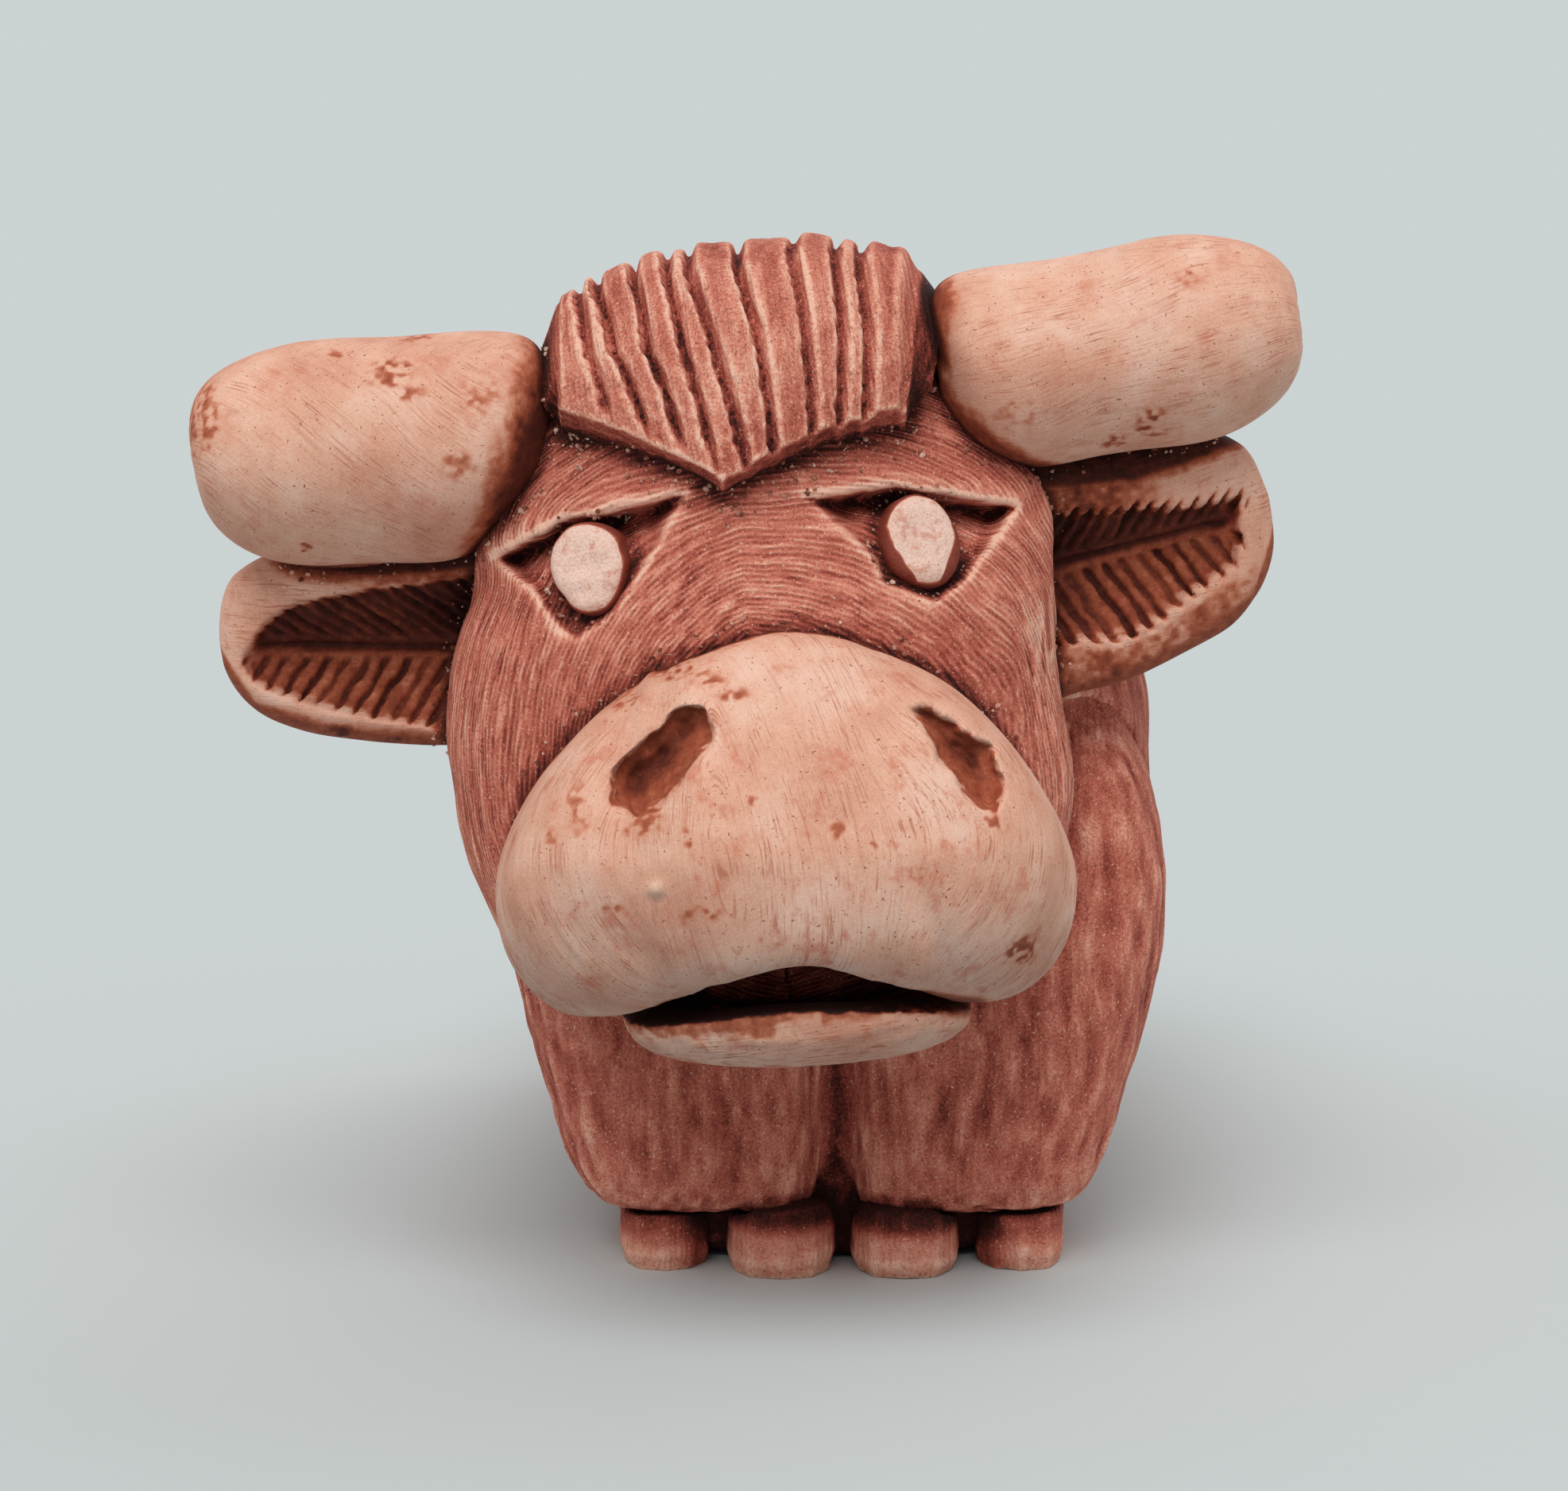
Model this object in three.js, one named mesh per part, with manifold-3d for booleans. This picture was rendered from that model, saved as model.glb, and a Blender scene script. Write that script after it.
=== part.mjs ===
// Bull figurine: hand-carved unglazed clay, made of separate pieces luted together.
// Millimetres, +Z up, the bull faces -Y and stands on its eight toes at z = 0.
// "left" and "right" are the viewer's, looking at the bull's face.

import * as THREE from 'three';
import { mergeVertices } from 'three/addons/utils/BufferGeometryUtils.js';
import Module from 'manifold-3d';

const wasm = await Module();
wasm.setup();

// Joints between the clay pieces
const seam = 0.3;

// Toes: two to a foot, each with a flat sole
const toeHeight = 4.6;
const toeTuck = 1.6;
const innerToeWidth = 9.6;
const outerToeWidth = 8.2;
const toeLength = 15;
const toeGap = 0.9;
const toeProud = 0.4;
const toeTaper = 0.08;
const outerToeSetback = 2.6;
const soleCut = 0.6;
const footShift = { left: 1.0, right: 0.1 };

// Legs: thick columns that swell into a shoulder or a haunch, with a skirt over the toes
const foreLegHeight = 43;
const hindLegHeight = 41;
const legWidth = 21.2;
const legDepth = 25;
const legFlare = 5.3;
const flareLevel = 0.66;
const shoulderSwell = 4;
const haunchSwell = 8;
const legSlit = 1.0;
const skirtRound = 0.28;
const shoulderRound = 0.56;

// Torso: a carved block with a shoulder hump and a round rump
const torsoWidth = 55.4;
const torsoHeight = 46.4;
const torsoLength = 81.8;
const bellyClearance = 10;
const humpRise = 3.2;
const humpAt = -0.5;
const rumpRise = 1.6;
const rumpAt = 0.55;
const waistPinch = 1.9;
const waistAt = 0.06;
const torsoEndRound = 0.54;
const torsoRimRound = 0.44;
const torsoSideRound = 0.64;
const torsoTopRound = 0.72;
const legProud = 0.6;
const cornerReach = 4;

// Neck: a thick mound that carries the head
const neckWidth = 41;
const neckLength = 44;
const neckHeight = 40;
const neckForward = 5.2;
const neckBelowBack = 10;
const neckSlope = 3;
const neckSideShare = 0.6;

// Head: a flat-faced block, tilted and set to one side of the body
const headTilt = 6.5;
const headTurn = 2.5;
const headSideways = -5.8;
const headForward = 6.6;
const headBelowBack = 6.4;
const headWidth = 48.4;
const headLopside = -1.3;
const headCrown = 25.4;
const headChin = 32;
const headSideY = 1.5;
const headBackY = 17;
const headThroatY = 3.4;
const throatTopZ = -3;
const throatLowZ = -13;
const noseRidge = 12.4;
const faceSlope = 0.34;
const faceWedge = 7.2;
const mouthSetback = 5;

// Eyes: flat-faced pellets in carved sockets
const eyeSpacing = 25.8;
const eyeRise = 4.6;
const eyeWidth = 5.4;
const eyeHeight = 6.7;
const eyeProud = 0.4;
const eyeLength = 4.6;
const eyeSplay = 7;
const socketShallow = 0.3;

// Corners of an eye socket from the eye's middle: [outwards, up, deep], brow first
const socketCorners = [
  [-8.3, 5.2, 4.2],
  [-1, 5.7, 5.2],
  [7.2, 2.2, 3.1],
  [2.8, -3.1, socketShallow],
  [-0.4, -4.9, socketShallow],
  [-3.8, -1.2, socketShallow],
];

// Muzzle: a smooth two-lobed dome over the lower face
const muzzleWidth = 43.8;
const muzzleSideways = -1.2;
const muzzleTopZ = -0.2;
const muzzleHeight = 28.6;
const muzzleReach = 23.4;
const muzzleTopY = 13.6;
const muzzleSideY = 8.6;
const muzzleRootY = 5;
const muzzleTopSetback = 5.4;
const muzzleLobe = 0.9;
const muzzleTwist = 4.5;
const lipArch = 6.0;
const mouthMiddleX = 0.5;
const nostrilSpacing = 20.8;
const nostrilSideways = 1.5;
const nostrilDrop = { left: 8.3, right: 8.8 };
const nostrilSetIn = 3.6;
const nostrilLength = 9.2;
const nostrilWidth = 4.2;
const nostrilDepth = 4.6;
const nostrilLean = 38;

// Lower lip: a shallow bowl under the muzzle
const lipWidth = 27;
const lipSideways = 0.6;
const lipRimZ = -27.9;
const lipDepth = 5.5;
const lipReach = 18.2;
const lipLength = 21.4;
const lipWall = 2.2;
const lipDish = 2.7;
const lipDroop = 1.6;
const lipRimCrown = 0.7;
const dishLength = 16;

// Horns: fat blunt rolls on the sloping corners of the crown
const hornReach = { left: 41.9, right: 43.6 };
const hornThickness = { left: 17.6, right: 16.2 };
const hornZ = { left: 15.5, right: 16.8 };
const hornTipRise = { left: 1.6, right: 1.2 };
const hornRootX = 13;
const hornRootSlant = { left: 8.5, right: 6.5 };
const hornY = 1.5;
const hornForward = { left: 3.5, right: 1.5 };

// Ears: leaf-shaped cups under the horns
const earReach = { left: 42.6, right: 40.8 };
const earTop = { left: 9.2, right: 10.4 };
const earDrop = { left: 7.8, right: 9.4 };
const earRootX = 18;
const earThickness = 7.5;
const earY = 5.4;
const earRim = 2.0;
const earCup = 4.2;

// Forelock: a carved cap of hair with a pointed fringe
const lockCount = 11;
const lockDepth = 0.95;
const lockSteps = 4;
const lockRows = 10;
const hairThickness = 2.9;
const fringeHalfWidth = 13.4;
const fringeSideZ = 16;
const fringeTipZ = 11;
const hairTopHalfWidth = 13.9;
const hairSideways = 1.6;
const hairTopZ = 29.1;
const hairBackZ = 15.5;
const hairSideDrop = 5.2;
const hairArch = 4.6;
const hairFrontArch = 3.2;
const hairOverhang = 1.2;
const fringeSlope = 0.8;
const fringeBow = 0.6;

// Tail: a thin roll laid down the rump, ending in a leaf-shaped tuft
const tailThickness = 4.6;
const tailProud = 0.9;
const tailDrop = 17;
const tailSweep = 8;
const tuftWidth = 9.4;
const tuftLength = 15;
const tuftSweep = 1.8;

// Places worked out from the sizes
const legBottomZ = toeHeight;
const torsoMidZ = legBottomZ + bellyClearance + torsoHeight / 2;
const torsoTopZ = legBottomZ + bellyClearance + torsoHeight;
const legFrontY = 28;
const torsoFrontY = legFrontY + legProud;
const torsoMidY = torsoFrontY + torsoLength / 2;
const torsoBackY = torsoFrontY + torsoLength;
const legInnerX = legSlit / 2;
const foreLegY = legFrontY + legDepth / 2;
const hindLegY = torsoBackY + legProud - legDepth / 2;
const headPlace = new THREE.Vector3(headSideways, torsoFrontY - headForward, torsoTopZ - headBelowBack);
const radians = THREE.MathUtils.degToRad;

const sides = { left: -1, right: 1 };

// Shaping helpers

function signedPower(value, power) {
  return Math.sign(value) * Math.abs(value) ** power;
}

function bump(value, centre, spread) {
  return Math.exp(-(((value - centre) / spread) ** 2));
}

function facingOut(geometry) {
  const at = geometry.getAttribute('position');
  const index = geometry.getIndex().array;
  const a = new THREE.Vector3();
  const b = new THREE.Vector3();
  const c = new THREE.Vector3();
  let volume = 0;
  for (let i = 0; i < index.length; i += 3) {
    a.fromBufferAttribute(at, index[i]);
    b.fromBufferAttribute(at, index[i + 1]);
    c.fromBufferAttribute(at, index[i + 2]);
    volume += a.dot(b.cross(c));
  }
  if (volume < 0) {
    for (let i = 0; i < index.length; i += 3) {
      [index[i + 1], index[i + 2]] = [index[i + 2], index[i + 1]];
    }
  }
  return geometry;
}

function solid(geometry) {
  const bare = geometry.clone();
  bare.deleteAttribute('normal');
  bare.deleteAttribute('uv');
  const merged = facingOut(mergeVertices(bare, 1e-4));
  const vertProperties = new Float32Array(merged.getAttribute('position').array);
  const triVerts = new Uint32Array(merged.getIndex().array);
  return new wasm.Manifold(new wasm.Mesh({ numProp: 3, vertProperties, triVerts }));
}

// A closed form on a globe grid, whose poles lie along Y before it is placed
function mould(around, along, place) {
  const globe = new THREE.SphereGeometry(1, around, along);
  globe.deleteAttribute('normal');
  globe.deleteAttribute('uv');
  const geometry = mergeVertices(globe, 1e-4);
  const at = geometry.getAttribute('position');
  const point = new THREE.Vector3();
  for (let i = 0; i < at.count; i += 1) {
    point.fromBufferAttribute(at, i);
    const ring = Math.hypot(point.x, point.z);
    const angle = Math.atan2(point.z, point.x);
    const moved = place({ pole: point.y, ring, angle });
    at.setXYZ(i, moved.x, moved.y, moved.z);
  }
  return solid(geometry);
}

function moved(form, matrix) {
  return form.transform(matrix.elements);
}

// The main body of a trimmed piece, without the crumbs that a cut leaves behind
function trimmed(form, ...cutters) {
  const cut = cutters.reduce((rest, cutter) => rest.subtract(cutter), form);
  return cut.decompose().reduce((most, body) => (body.volume() > most.volume() ? body : most));
}

// A closed outline in X and Z from its half, listed from top to bottom as [x, z]
function mirroredOutline(half) {
  const left = half.map(([x, z]) => new THREE.Vector3(-x, 0, z));
  const right = half.slice(1, -1).reverse().map(([x, z]) => new THREE.Vector3(x, 0, z));
  return new THREE.CatmullRomCurve3([...left, ...right], true, 'centripetal');
}

// The outline's point for an angle that starts at the top and runs to the left
function onOutline(curve, angle) {
  const turn = (angle - Math.PI / 2) / (2 * Math.PI);
  return curve.getPoint((turn + 1) % 1);
}

// Torso, neck and legs, in the figure's frame

function backLine(along) {
  return humpRise * bump(along, humpAt, 0.33) + rumpRise * bump(along, rumpAt, 0.3);
}

function torsoForm(grow = 0) {
  return mould(28, 18, ({ pole, ring, angle }) => {
    const along = signedPower(pole, torsoEndRound);
    const full = ring ** torsoRimRound;
    const waist = waistPinch * bump(along, waistAt, 0.34);
    const across = (torsoWidth / 2 - waist + grow) * full * signedPower(Math.cos(angle), torsoSideRound);
    const up = signedPower(Math.sin(angle), torsoTopRound);
    const rise = up > 0 ? backLine(along) * up * full : 0;
    const height = torsoMidZ + (torsoHeight / 2 + grow) * full * up + rise;
    return new THREE.Vector3(across, torsoMidY + along * (torsoLength / 2 + grow), height);
  });
}

// A point on the middle line of the torso's top and back, from 0 at mid-length to 1 at mid-height
function onRump(pole) {
  const along = pole ** torsoEndRound;
  const rise = (torsoHeight / 2 + backLine(along)) * (1 - pole * pole) ** (torsoRimRound / 2);
  return new THREE.Vector3(0, torsoMidY + along * (torsoLength / 2), torsoMidZ + rise);
}

function neckForm(grow = 0) {
  const centre = new THREE.Vector3(
    headSideways * neckSideShare,
    torsoFrontY + neckLength / 2 - neckForward,
    torsoTopZ - neckBelowBack,
  );
  return mould(20, 12, ({ pole, ring, angle }) => {
    const along = signedPower(pole, 0.8);
    const full = ring ** 0.8;
    const lean = -along * neckSlope;
    return new THREE.Vector3(
      centre.x + (neckWidth / 2 + grow) * full * Math.cos(angle),
      centre.y + along * (neckLength / 2 + grow),
      centre.z + (neckHeight / 2 + grow) * full * Math.sin(angle) + lean,
    );
  });
}

// A column that swells upwards from its skirt, outwards and towards the belly
function legForm(side, hind, grow = 0) {
  const height = hind ? hindLegHeight : foreLegHeight;
  const midY = hind ? hindLegY : foreLegY;
  const swell = hind ? haunchSwell : shoulderSwell;
  const inward = hind ? -1 : 1;
  return mould(24, 14, ({ pole, ring, angle }) => {
    const full = ring ** (pole < 0 ? skirtRound : shoulderRound);
    const up = signedPower(pole, pole < 0 ? skirtRound : 1.5 * shoulderRound);
    const level = (up + 1) / 2;
    const growth = Math.sin((Math.PI / 2) * Math.min(level / flareLevel, 1)) ** 1.2;
    const halfWidth = (legWidth + legFlare * growth) / 2;
    const halfDepth = (legDepth + swell * growth) / 2;
    const x = legInnerX + halfWidth + (halfWidth + grow) * full * signedPower(Math.cos(angle), 0.5);
    const centreY = midY + inward * (swell / 2) * growth;
    const y = centreY + (halfDepth + grow) * full * signedPower(Math.sin(angle), 0.5);
    const z = legBottomZ + level * height + grow * up;
    return new THREE.Vector3(side * x, y, z);
  });
}

// Toe: a round-fronted lump, flat on the ground and tucked into the leg above
function toeForm(name, hind, outer) {
  const width = outer ? outerToeWidth : innerToeWidth;
  const start = outer ? legInnerX + innerToeWidth + toeGap : legInnerX + toeGap / 4;
  const facing = hind ? 1 : -1;
  const legEndY = (hind ? hindLegY : foreLegY) + facing * (legDepth / 2 + toeProud);
  const setback = outer ? outerToeSetback : 0;
  const midY = legEndY - facing * (toeLength / 2 + setback);
  return mould(12, 7, ({ pole, ring, angle }) => {
    const level = (signedPower(pole, 0.5) + 1) / 2;
    const full = ring ** 0.45 * (1 - toeTaper * level);
    const x = start + width / 2 + (width / 2) * full * signedPower(Math.cos(angle), 0.75);
    const y = midY + (toeLength / 2) * full * signedPower(Math.sin(angle), 0.75);
    const z = Math.max(level * (toeHeight + toeTuck + soleCut) - soleCut, 0);
    return new THREE.Vector3(sides[name] * x + footShift[name], y, z);
  });
}

// Head pieces, in the head's own frame: the face looks along -Y

const headHalfOutline = [
  [0, headCrown],
  [headWidth * 0.19, headCrown * 0.93],
  [headWidth * 0.29, headCrown * 0.72],
  [headWidth * 0.38, headCrown * 0.5],
  [headWidth * 0.472, headCrown * 0.28],
  [headWidth * 0.5, -headChin * 0.16],
  [headWidth * 0.485, -headChin * 0.55],
  [headWidth * 0.4, -headChin * 0.83],
  [headWidth * 0.2, -headChin * 0.975],
  [0, -headChin],
];

function faceY(x, z) {
  const rise = z > 0 ? faceSlope * z : 0.06 * z;
  const mouth = mouthSetback * THREE.MathUtils.smoothstep(-z, headChin * 0.55, headChin * 0.8);
  const wedge = faceWedge * (Math.abs(x) / (headWidth / 2)) ** 1.25;
  return -noseRidge + rise + mouth + wedge;
}

function napeY(z) {
  return THREE.MathUtils.lerp(headThroatY, headBackY, THREE.MathUtils.smoothstep(z, throatLowZ, throatTopZ));
}

function headBlock(grow) {
  const outline = mirroredOutline(headHalfOutline);
  return mould(36, 18, ({ pole, ring, angle }) => {
    const full = ring ** 0.5;
    const depth = Math.abs(pole) ** 0.5;
    const edge = onOutline(outline, angle);
    const spread = 1 + grow / edge.length();
    const z = edge.z * full * spread;
    const x = edge.x * full * spread + headLopside * THREE.MathUtils.smoothstep(-z, -headCrown * 0.3, 0);
    const face = pole < 0 ? faceY(x, z) - grow : napeY(z) + 1.5 * grow;
    return new THREE.Vector3(x, headSideY + (face - headSideY) * depth, z);
  });
}

// Socket cutter: deepest under the brow, running out to nothing below the eye
function socketForm(side, shrink) {
  const eyeX = eyeSpacing / 2;
  const rim = socketCorners.map(([outwards, up, deep]) => [
    eyeX + outwards - shrink * Math.sign(outwards),
    eyeRise + up - shrink * Math.sign(up),
    deep,
  ]);
  const middleDepth = Math.max(...rim.map(([, , deep]) => deep)) * 0.75;
  const points = [];
  for (const [x, z] of rim) {
    points.push(new THREE.Vector3(side * x, -headWidth, z));
  }
  for (const [x, z, depth] of rim) {
    points.push(new THREE.Vector3(side * x, faceY(x, z) + depth - shrink, z));
  }
  const n = rim.length;
  points.push(new THREE.Vector3(side * eyeX, -headWidth, eyeRise));
  points.push(new THREE.Vector3(side * eyeX, faceY(eyeX, eyeRise) + middleDepth - shrink, eyeRise));
  const index = [];
  for (let i = 0; i < n; i += 1) {
    const j = (i + 1) % n;
    index.push(i, j, n + i, j, n + j, n + i);
    index.push(2 * n, j, i, 2 * n + 1, n + i, n + j);
  }
  const geometry = new THREE.BufferGeometry().setFromPoints(points);
  geometry.setIndex(index);
  return solid(geometry);
}

function headForm(grow = 0) {
  let form = headBlock(grow);
  for (const side of Object.values(sides)) {
    form = form.subtract(socketForm(side, grow));
  }
  return form;
}

// Eye: a short oval pellet, its flat face turned a little outwards
function eyeForm(side) {
  const x = side * eyeSpacing / 2;
  const front = faceY(eyeSpacing / 2, eyeRise) - eyeProud;
  const pellet = mould(16, 6, ({ pole, ring, angle }) => new THREE.Vector3(
    (eyeWidth / 2) * ring ** 0.35 * Math.cos(angle),
    (eyeLength / 2) * signedPower(pole, 0.35),
    (eyeHeight / 2) * ring ** 0.35 * Math.sin(angle),
  ));
  const place = new THREE.Matrix4()
    .makeTranslation(x, front + eyeLength / 2, eyeRise)
    .multiply(new THREE.Matrix4().makeRotationZ(radians(side * eyeSplay)));
  return moved(pellet, place);
}

// Muzzle and lip share a frame, turned back a little against the head's tilt
const mouthZ = muzzleTopZ - muzzleHeight + lipArch;
const muzzlePlace = new THREE.Matrix4()
  .makeTranslation(mouthMiddleX, 0, mouthZ)
  .multiply(new THREE.Matrix4().makeRotationY(radians(muzzleTwist)))
  .multiply(new THREE.Matrix4().makeTranslation(muzzleSideways - mouthMiddleX, 0, -mouthZ));

const muzzleHalfOutline = [
  [0, 0],
  [0.36, 0.075],
  [0.66, 0.22],
  [0.88, 0.42],
  [0.995, 0.65],
  [0.95, 0.86],
  [0.8, 0.98],
  [0.6, 0.995],
  [0.36, 0.92],
  [0, 1 - lipArch / muzzleHeight],
].map(([across, down]) => [across * (muzzleWidth / 2), muzzleTopZ - down * muzzleHeight]);

function muzzleForm(grow = 0) {
  const outline = mirroredOutline(muzzleHalfOutline);
  const middle = new THREE.Vector3(0, 0, muzzleTopZ - muzzleHeight * 0.5);
  const dome = mould(36, 16, ({ pole, ring, angle }) => {
    const full = ring ** 0.72;
    const ovalX = (muzzleWidth / 2) * Math.cos(angle);
    const ovalZ = (muzzleHeight / 2) * Math.sin(angle);
    const edge = onOutline(outline, angle).sub(middle);
    edge.lerpVectors(new THREE.Vector3(ovalX, 0, ovalZ), edge, full ** 4);
    const spread = full * (1 + grow / edge.length());
    const x = edge.x * spread;
    const z = middle.z + edge.z * spread;
    const down = (muzzleTopZ - z) / muzzleHeight;
    const edgeY = -THREE.MathUtils.lerp(muzzleTopY, muzzleSideY, Math.abs(x) / (muzzleWidth / 2));
    const nose = muzzleReach - muzzleTopSetback * (1 - Math.min(down / 0.55, 1)) ** 1.4;
    const lobes = muzzleLobe * bump(Math.abs(x), muzzleWidth * 0.27, muzzleWidth * 0.16) * Math.min(down, 1);
    const face = pole < 0 ? -nose - lobes - grow : -muzzleRootY + grow;
    const depth = Math.abs(pole) ** (pole < 0 ? 0.78 : 0.5);
    return new THREE.Vector3(x, edgeY + (face - edgeY) * depth, z);
  });
  return moved(dome, muzzlePlace);
}

// Nostril: a leaning almond slot sunk into the muzzle
function nostrilForm(name) {
  const slot = mould(14, 8, ({ pole, ring, angle }) => new THREE.Vector3(
    (nostrilWidth / 2) * ring ** 0.7 * Math.cos(angle),
    nostrilDepth * signedPower(pole, 0.7),
    (nostrilLength / 2) * ring ** 0.7 * Math.sin(angle),
  ));
  const x = nostrilSideways + sides[name] * nostrilSpacing / 2;
  const z = muzzleTopZ - nostrilDrop[name];
  const place = muzzlePlace.clone()
    .multiply(new THREE.Matrix4().makeTranslation(x, nostrilSetIn - muzzleReach, z))
    .multiply(new THREE.Matrix4().makeRotationY(radians(-sides[name] * nostrilLean)));
  return moved(slot, place);
}

function lipForm() {
  const bowl = mould(24, 10, ({ pole, ring, angle }) => {
    const along = signedPower(pole, 0.8);
    const full = ring ** 0.72;
    const across = full * Math.cos(angle);
    const up = Math.sin(angle);
    const y = -lipReach + lipLength / 2 + along * (lipLength / 2);
    const height = up > 0 ? lipRimCrown * full * up : lipDepth * full * up;
    const z = lipRimZ - lipDroop * across ** 2 + height;
    return new THREE.Vector3(lipSideways + (lipWidth / 2) * across, y, z);
  });
  const dish = mould(16, 8, ({ pole, ring, angle }) => new THREE.Vector3(
    lipSideways + (lipWidth / 2 - lipWall) * ring ** 0.8 * Math.cos(angle),
    -lipReach + lipWall + dishLength / 2 * (1 + signedPower(pole, 0.8)),
    lipRimZ + lipRimCrown + lipDish * ring * Math.sin(angle),
  ));
  return moved(bowl.subtract(dish), muzzlePlace);
}

// Horn: a blunt roll, its root trimmed to the crown and the hair
function hornForm(name, grow = 0) {
  const side = sides[name];
  const length = hornReach[name] - hornRootX;
  const radius = hornThickness[name] / 2;
  return mould(20, 14, ({ pole, ring, angle }) => {
    const blunt = pole > 0 ? 0.6 : 0.55;
    const along = (signedPower(pole, blunt + 0.1) + 1) / 2;
    const waist = 1 - 0.05 * bump(along, 0.45, 0.25) - 0.04 * along;
    const thick = (radius * waist + grow) * ring ** blunt;
    const low = (1 - Math.cos(angle)) / 2;
    const slant = hornRootSlant[name] * low * ring ** blunt * (1 - along) ** 1.5;
    const x = hornRootX - grow + along * (length + 2 * grow) + slant;
    const y = hornY - hornForward[name] * along ** 2 + thick * Math.sin(angle);
    const z = hornZ[name] + hornTipRise[name] * along ** 2 + thick * Math.cos(angle);
    return new THREE.Vector3(side * x, y, z);
  });
}

// Ear: a leaf under the horn, hollowed towards the front
function earOutline(name, inset) {
  const reach = earReach[name] - inset;
  const root = earRootX + inset * 0.2;
  const span = reach - root;
  const top = earTop[name] - inset;
  const drop = earDrop[name] - inset;
  return new THREE.CatmullRomCurve3([
    new THREE.Vector3(root, 0, top * 0.72),
    new THREE.Vector3(root + span * 0.35, 0, top * 0.8),
    new THREE.Vector3(root + span * 0.72, 0, top * 0.96),
    new THREE.Vector3(root + span * 0.93, 0, top * 0.8),
    new THREE.Vector3(reach, 0, top * 0.12),
    new THREE.Vector3(root + span * 0.9, 0, -drop * 0.42),
    new THREE.Vector3(root + span * 0.64, 0, -drop * 0.78),
    new THREE.Vector3(root + span * 0.3, 0, -drop),
    new THREE.Vector3(root, 0, -drop * 1.02),
    new THREE.Vector3(root - 1, 0, 0),
  ], true, 'centripetal');
}

function leafForm(name, inset, frontY, backY, squareness) {
  const outline = earOutline(name, inset);
  const middle = new THREE.Vector3((earRootX + earReach[name]) / 2, 0, 0);
  const midY = (frontY + backY) / 2;
  return mould(30, 8, ({ pole, ring, angle }) => {
    const turn = (Math.PI - angle) / (2 * Math.PI);
    const edge = outline.getPoint((turn + 1) % 1).sub(middle);
    const full = ring ** squareness;
    const y = midY + (backY - midY) * signedPower(pole, squareness);
    return new THREE.Vector3(sides[name] * (middle.x + edge.x * full), y, edge.z * full);
  });
}

function earForm(name) {
  const frontY = earY - earThickness / 2;
  const leaf = leafForm(name, 0, frontY, frontY + earThickness, 0.6);
  return leaf.subtract(leafForm(name, earRim, frontY - earCup, frontY + earCup, 0.9));
}

// Forelock: rows of locks that run from the fringe back over the crown

function lockPoint(across, along, lift) {
  const fringeX = fringeHalfWidth * across - fringeBow * across * across;
  const tip = Math.max(1 - Math.abs(across), 0);
  const fringeZ = THREE.MathUtils.lerp(fringeSideZ - fringeSlope * across, fringeTipZ, tip ** 1.25);
  const topX = hairTopHalfWidth * across + hairSideways;
  const topZ = hairTopZ - hairThickness - hairSideDrop * Math.abs(across) ** 2.6;
  const frontY = faceY(fringeX, fringeZ);
  const path = new THREE.CubicBezierCurve3(
    new THREE.Vector3(fringeX, frontY, fringeZ),
    new THREE.Vector3(THREE.MathUtils.lerp(fringeX, topX, 0.7), frontY, topZ + hairFrontArch),
    new THREE.Vector3(topX, headBackY * 0.62, topZ + hairArch),
    new THREE.Vector3(topX, headBackY + hairOverhang, hairBackZ),
  );
  const at = path.getPoint(along);
  const middle = new THREE.Vector3(at.x * 0.55, 3, 6);
  const outward = at.clone().sub(middle).normalize();
  return at.addScaledVector(outward, lift);
}

// The cap is a fan of strips from a line inside the crown out to the carved locks
function forelockForm(grow = 0) {
  const columns = lockCount * lockSteps;
  const width = columns + 2;
  const points = [];
  const index = [];
  const quad = (a, b, c, d) => index.push(a, b, c, a, c, d);
  for (let row = 0; row <= lockRows; row += 1) {
    const along = row / lockRows;
    for (let column = 0; column <= columns; column += 1) {
      const ridge = Math.sin(Math.PI * ((column / lockSteps) % 1));
      const groove = grow > 0 ? 0 : lockDepth * (1 - ridge ** 0.7);
      const across = ((2 * column) / columns - 1) * (1 + grow * 0.1);
      points.push(lockPoint(across, along, hairThickness - groove + grow));
    }
    points.push(new THREE.Vector3(0, lockPoint(0, along, 0).y, headCrown * 0.38 - grow));
  }
  for (let row = 0; row < lockRows; row += 1) {
    const first = row * width;
    for (let column = 0; column <= columns; column += 1) {
      const a = first + column;
      const b = first + ((column + 1) % width);
      quad(a, b, b + width, a + width);
    }
    const last = first + columns + 1;
    quad(last, first, first + width, last + width);
  }
  for (let column = 0; column < columns; column += 1) {
    const back = lockRows * width;
    index.push(column + 1, column, columns + 1);
    index.push(back + column, back + column + 1, back + columns + 1);
  }
  const geometry = new THREE.BufferGeometry().setFromPoints(points);
  geometry.setIndex(index);
  return solid(geometry);
}

// Tail and tuft, laid on the rump

function rollAlong(path, around, along, thickness) {
  const up = new THREE.Vector3(1, 0, 0);
  return mould(around, along, ({ pole, ring, angle }) => {
    const share = THREE.MathUtils.clamp((signedPower(pole, 0.9) + 1) / 2, 0, 1);
    const at = path.getPoint(share);
    const tangent = path.getTangent(share);
    const sideways = new THREE.Vector3().crossVectors(tangent, up).normalize();
    const across = new THREE.Vector3().crossVectors(sideways, tangent).normalize();
    const [wide, deep] = thickness(share);
    at.addScaledVector(across, wide * ring ** 0.6 * Math.cos(angle));
    return at.addScaledVector(sideways, deep * ring ** 0.6 * Math.sin(angle));
  });
}

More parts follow.
